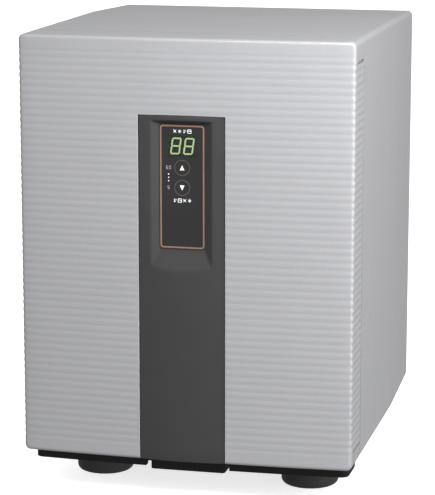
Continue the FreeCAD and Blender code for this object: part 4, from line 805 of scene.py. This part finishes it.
FLOOR_HALF = 40
FLOOR_GLOW = 0.75
WORLD_LEVEL = 0.57
WORLD_LEAN = (0.20, -0.15, 0.20)
CAMERA_LENS = 162.475
CAMERA_YAW = 0.2372
CAMERA_PITCH = 0.1971
CAMERA_PLACE = (0.49341, -2.08377, 0.63238)


def stage_floor():
    reach = FLOOR_HALF
    mesh = bpy.data.meshes.new("floor")
    mesh.from_pydata([(-reach, -reach, 0), (reach, -reach, 0), (reach, reach, 0), (-reach, reach, 0)],
                     [], [(0, 1, 2, 3)])
    floor = bpy.data.objects.new("floor", mesh)
    bpy.context.scene.collection.objects.link(floor)
    paint = surface("floor_paint", (0.99, 0.99, 0.99), 0.9, mottle=0.002, mottle_cell=0.4,
                    specular=0.1)
    shader = paint.node_tree.nodes["Principled BSDF"]
    shader.inputs["Emission Color"].default_value = (1, 1, 1, 1)
    shader.inputs["Emission Strength"].default_value = FLOOR_GLOW
    mesh.materials.append(paint)
    # the floor stays white without throwing its own light up at the cabinet
    floor.visible_diffuse = False
    floor.visible_glossy = False


def area_light(name, place, aim, width, height, power):
    light = bpy.data.lights.new(name, "AREA")
    light.shape = "RECTANGLE"
    light.size, light.size_y = width, height
    light.energy = power
    item = bpy.data.objects.new(name, light)
    item.location = place
    item.rotation_mode = "QUATERNION"
    item.rotation_quaternion = (Vector(aim) - Vector(place)).to_track_quat("-Z", "Y")
    bpy.context.scene.collection.objects.link(item)


def graded_world():
    """Soft room light that is strongest from the front and the right."""
    world = bpy.data.worlds.new("studio")
    world.use_nodes = True
    tree = world.node_tree
    coords = tree.nodes.new("ShaderNodeTexCoord")
    lean = tree.nodes.new("ShaderNodeVectorMath")
    lean.operation = "DOT_PRODUCT"
    lean.inputs[1].default_value = WORLD_LEAN
    link(tree, coords.outputs["Generated"], lean.inputs[0])
    level = tree.nodes.new("ShaderNodeMath")
    level.operation = "ADD"
    level.inputs[1].default_value = WORLD_LEVEL
    link(tree, lean.outputs["Value"], level.inputs[0])
    background = tree.nodes["Background"]
    background.inputs["Color"].default_value = (1, 1, 1, 1)
    link(tree, level.outputs["Value"], background.inputs["Strength"])
    return world


stage_floor()
bpy.context.scene.world = graded_world()
bpy.context.scene.view_settings.view_transform = "Standard"
area_light("key", place=(0.48, -0.68, 0.76), aim=(0.06, -0.12, 0.26), width=0.30, height=0.30,
           power=7.4)
area_light("overhead", place=(0.30, -0.58, 1.02), aim=(0.06, -0.17, 0.43), width=1.0, height=0.10,
           power=3.0)
area_light("tall", place=(1.10, -0.46, 0.30), aim=(0.155, -0.15, 0.25), width=0.12, height=1.2,
           power=4.8)

camera_data = bpy.data.cameras.new("camera")
camera_data.lens = CAMERA_LENS
camera_data.sensor_width = 36
camera = bpy.data.objects.new("camera", camera_data)
forward = Vector((-math.sin(CAMERA_YAW) * math.cos(CAMERA_PITCH),
                  math.cos(CAMERA_YAW) * math.cos(CAMERA_PITCH), -math.sin(CAMERA_PITCH)))
camera.location = CAMERA_PLACE
camera.rotation_mode = "QUATERNION"
camera.rotation_quaternion = forward.to_track_quat("-Z", "Y")
bpy.context.scene.collection.objects.link(camera)
bpy.context.scene.camera = camera
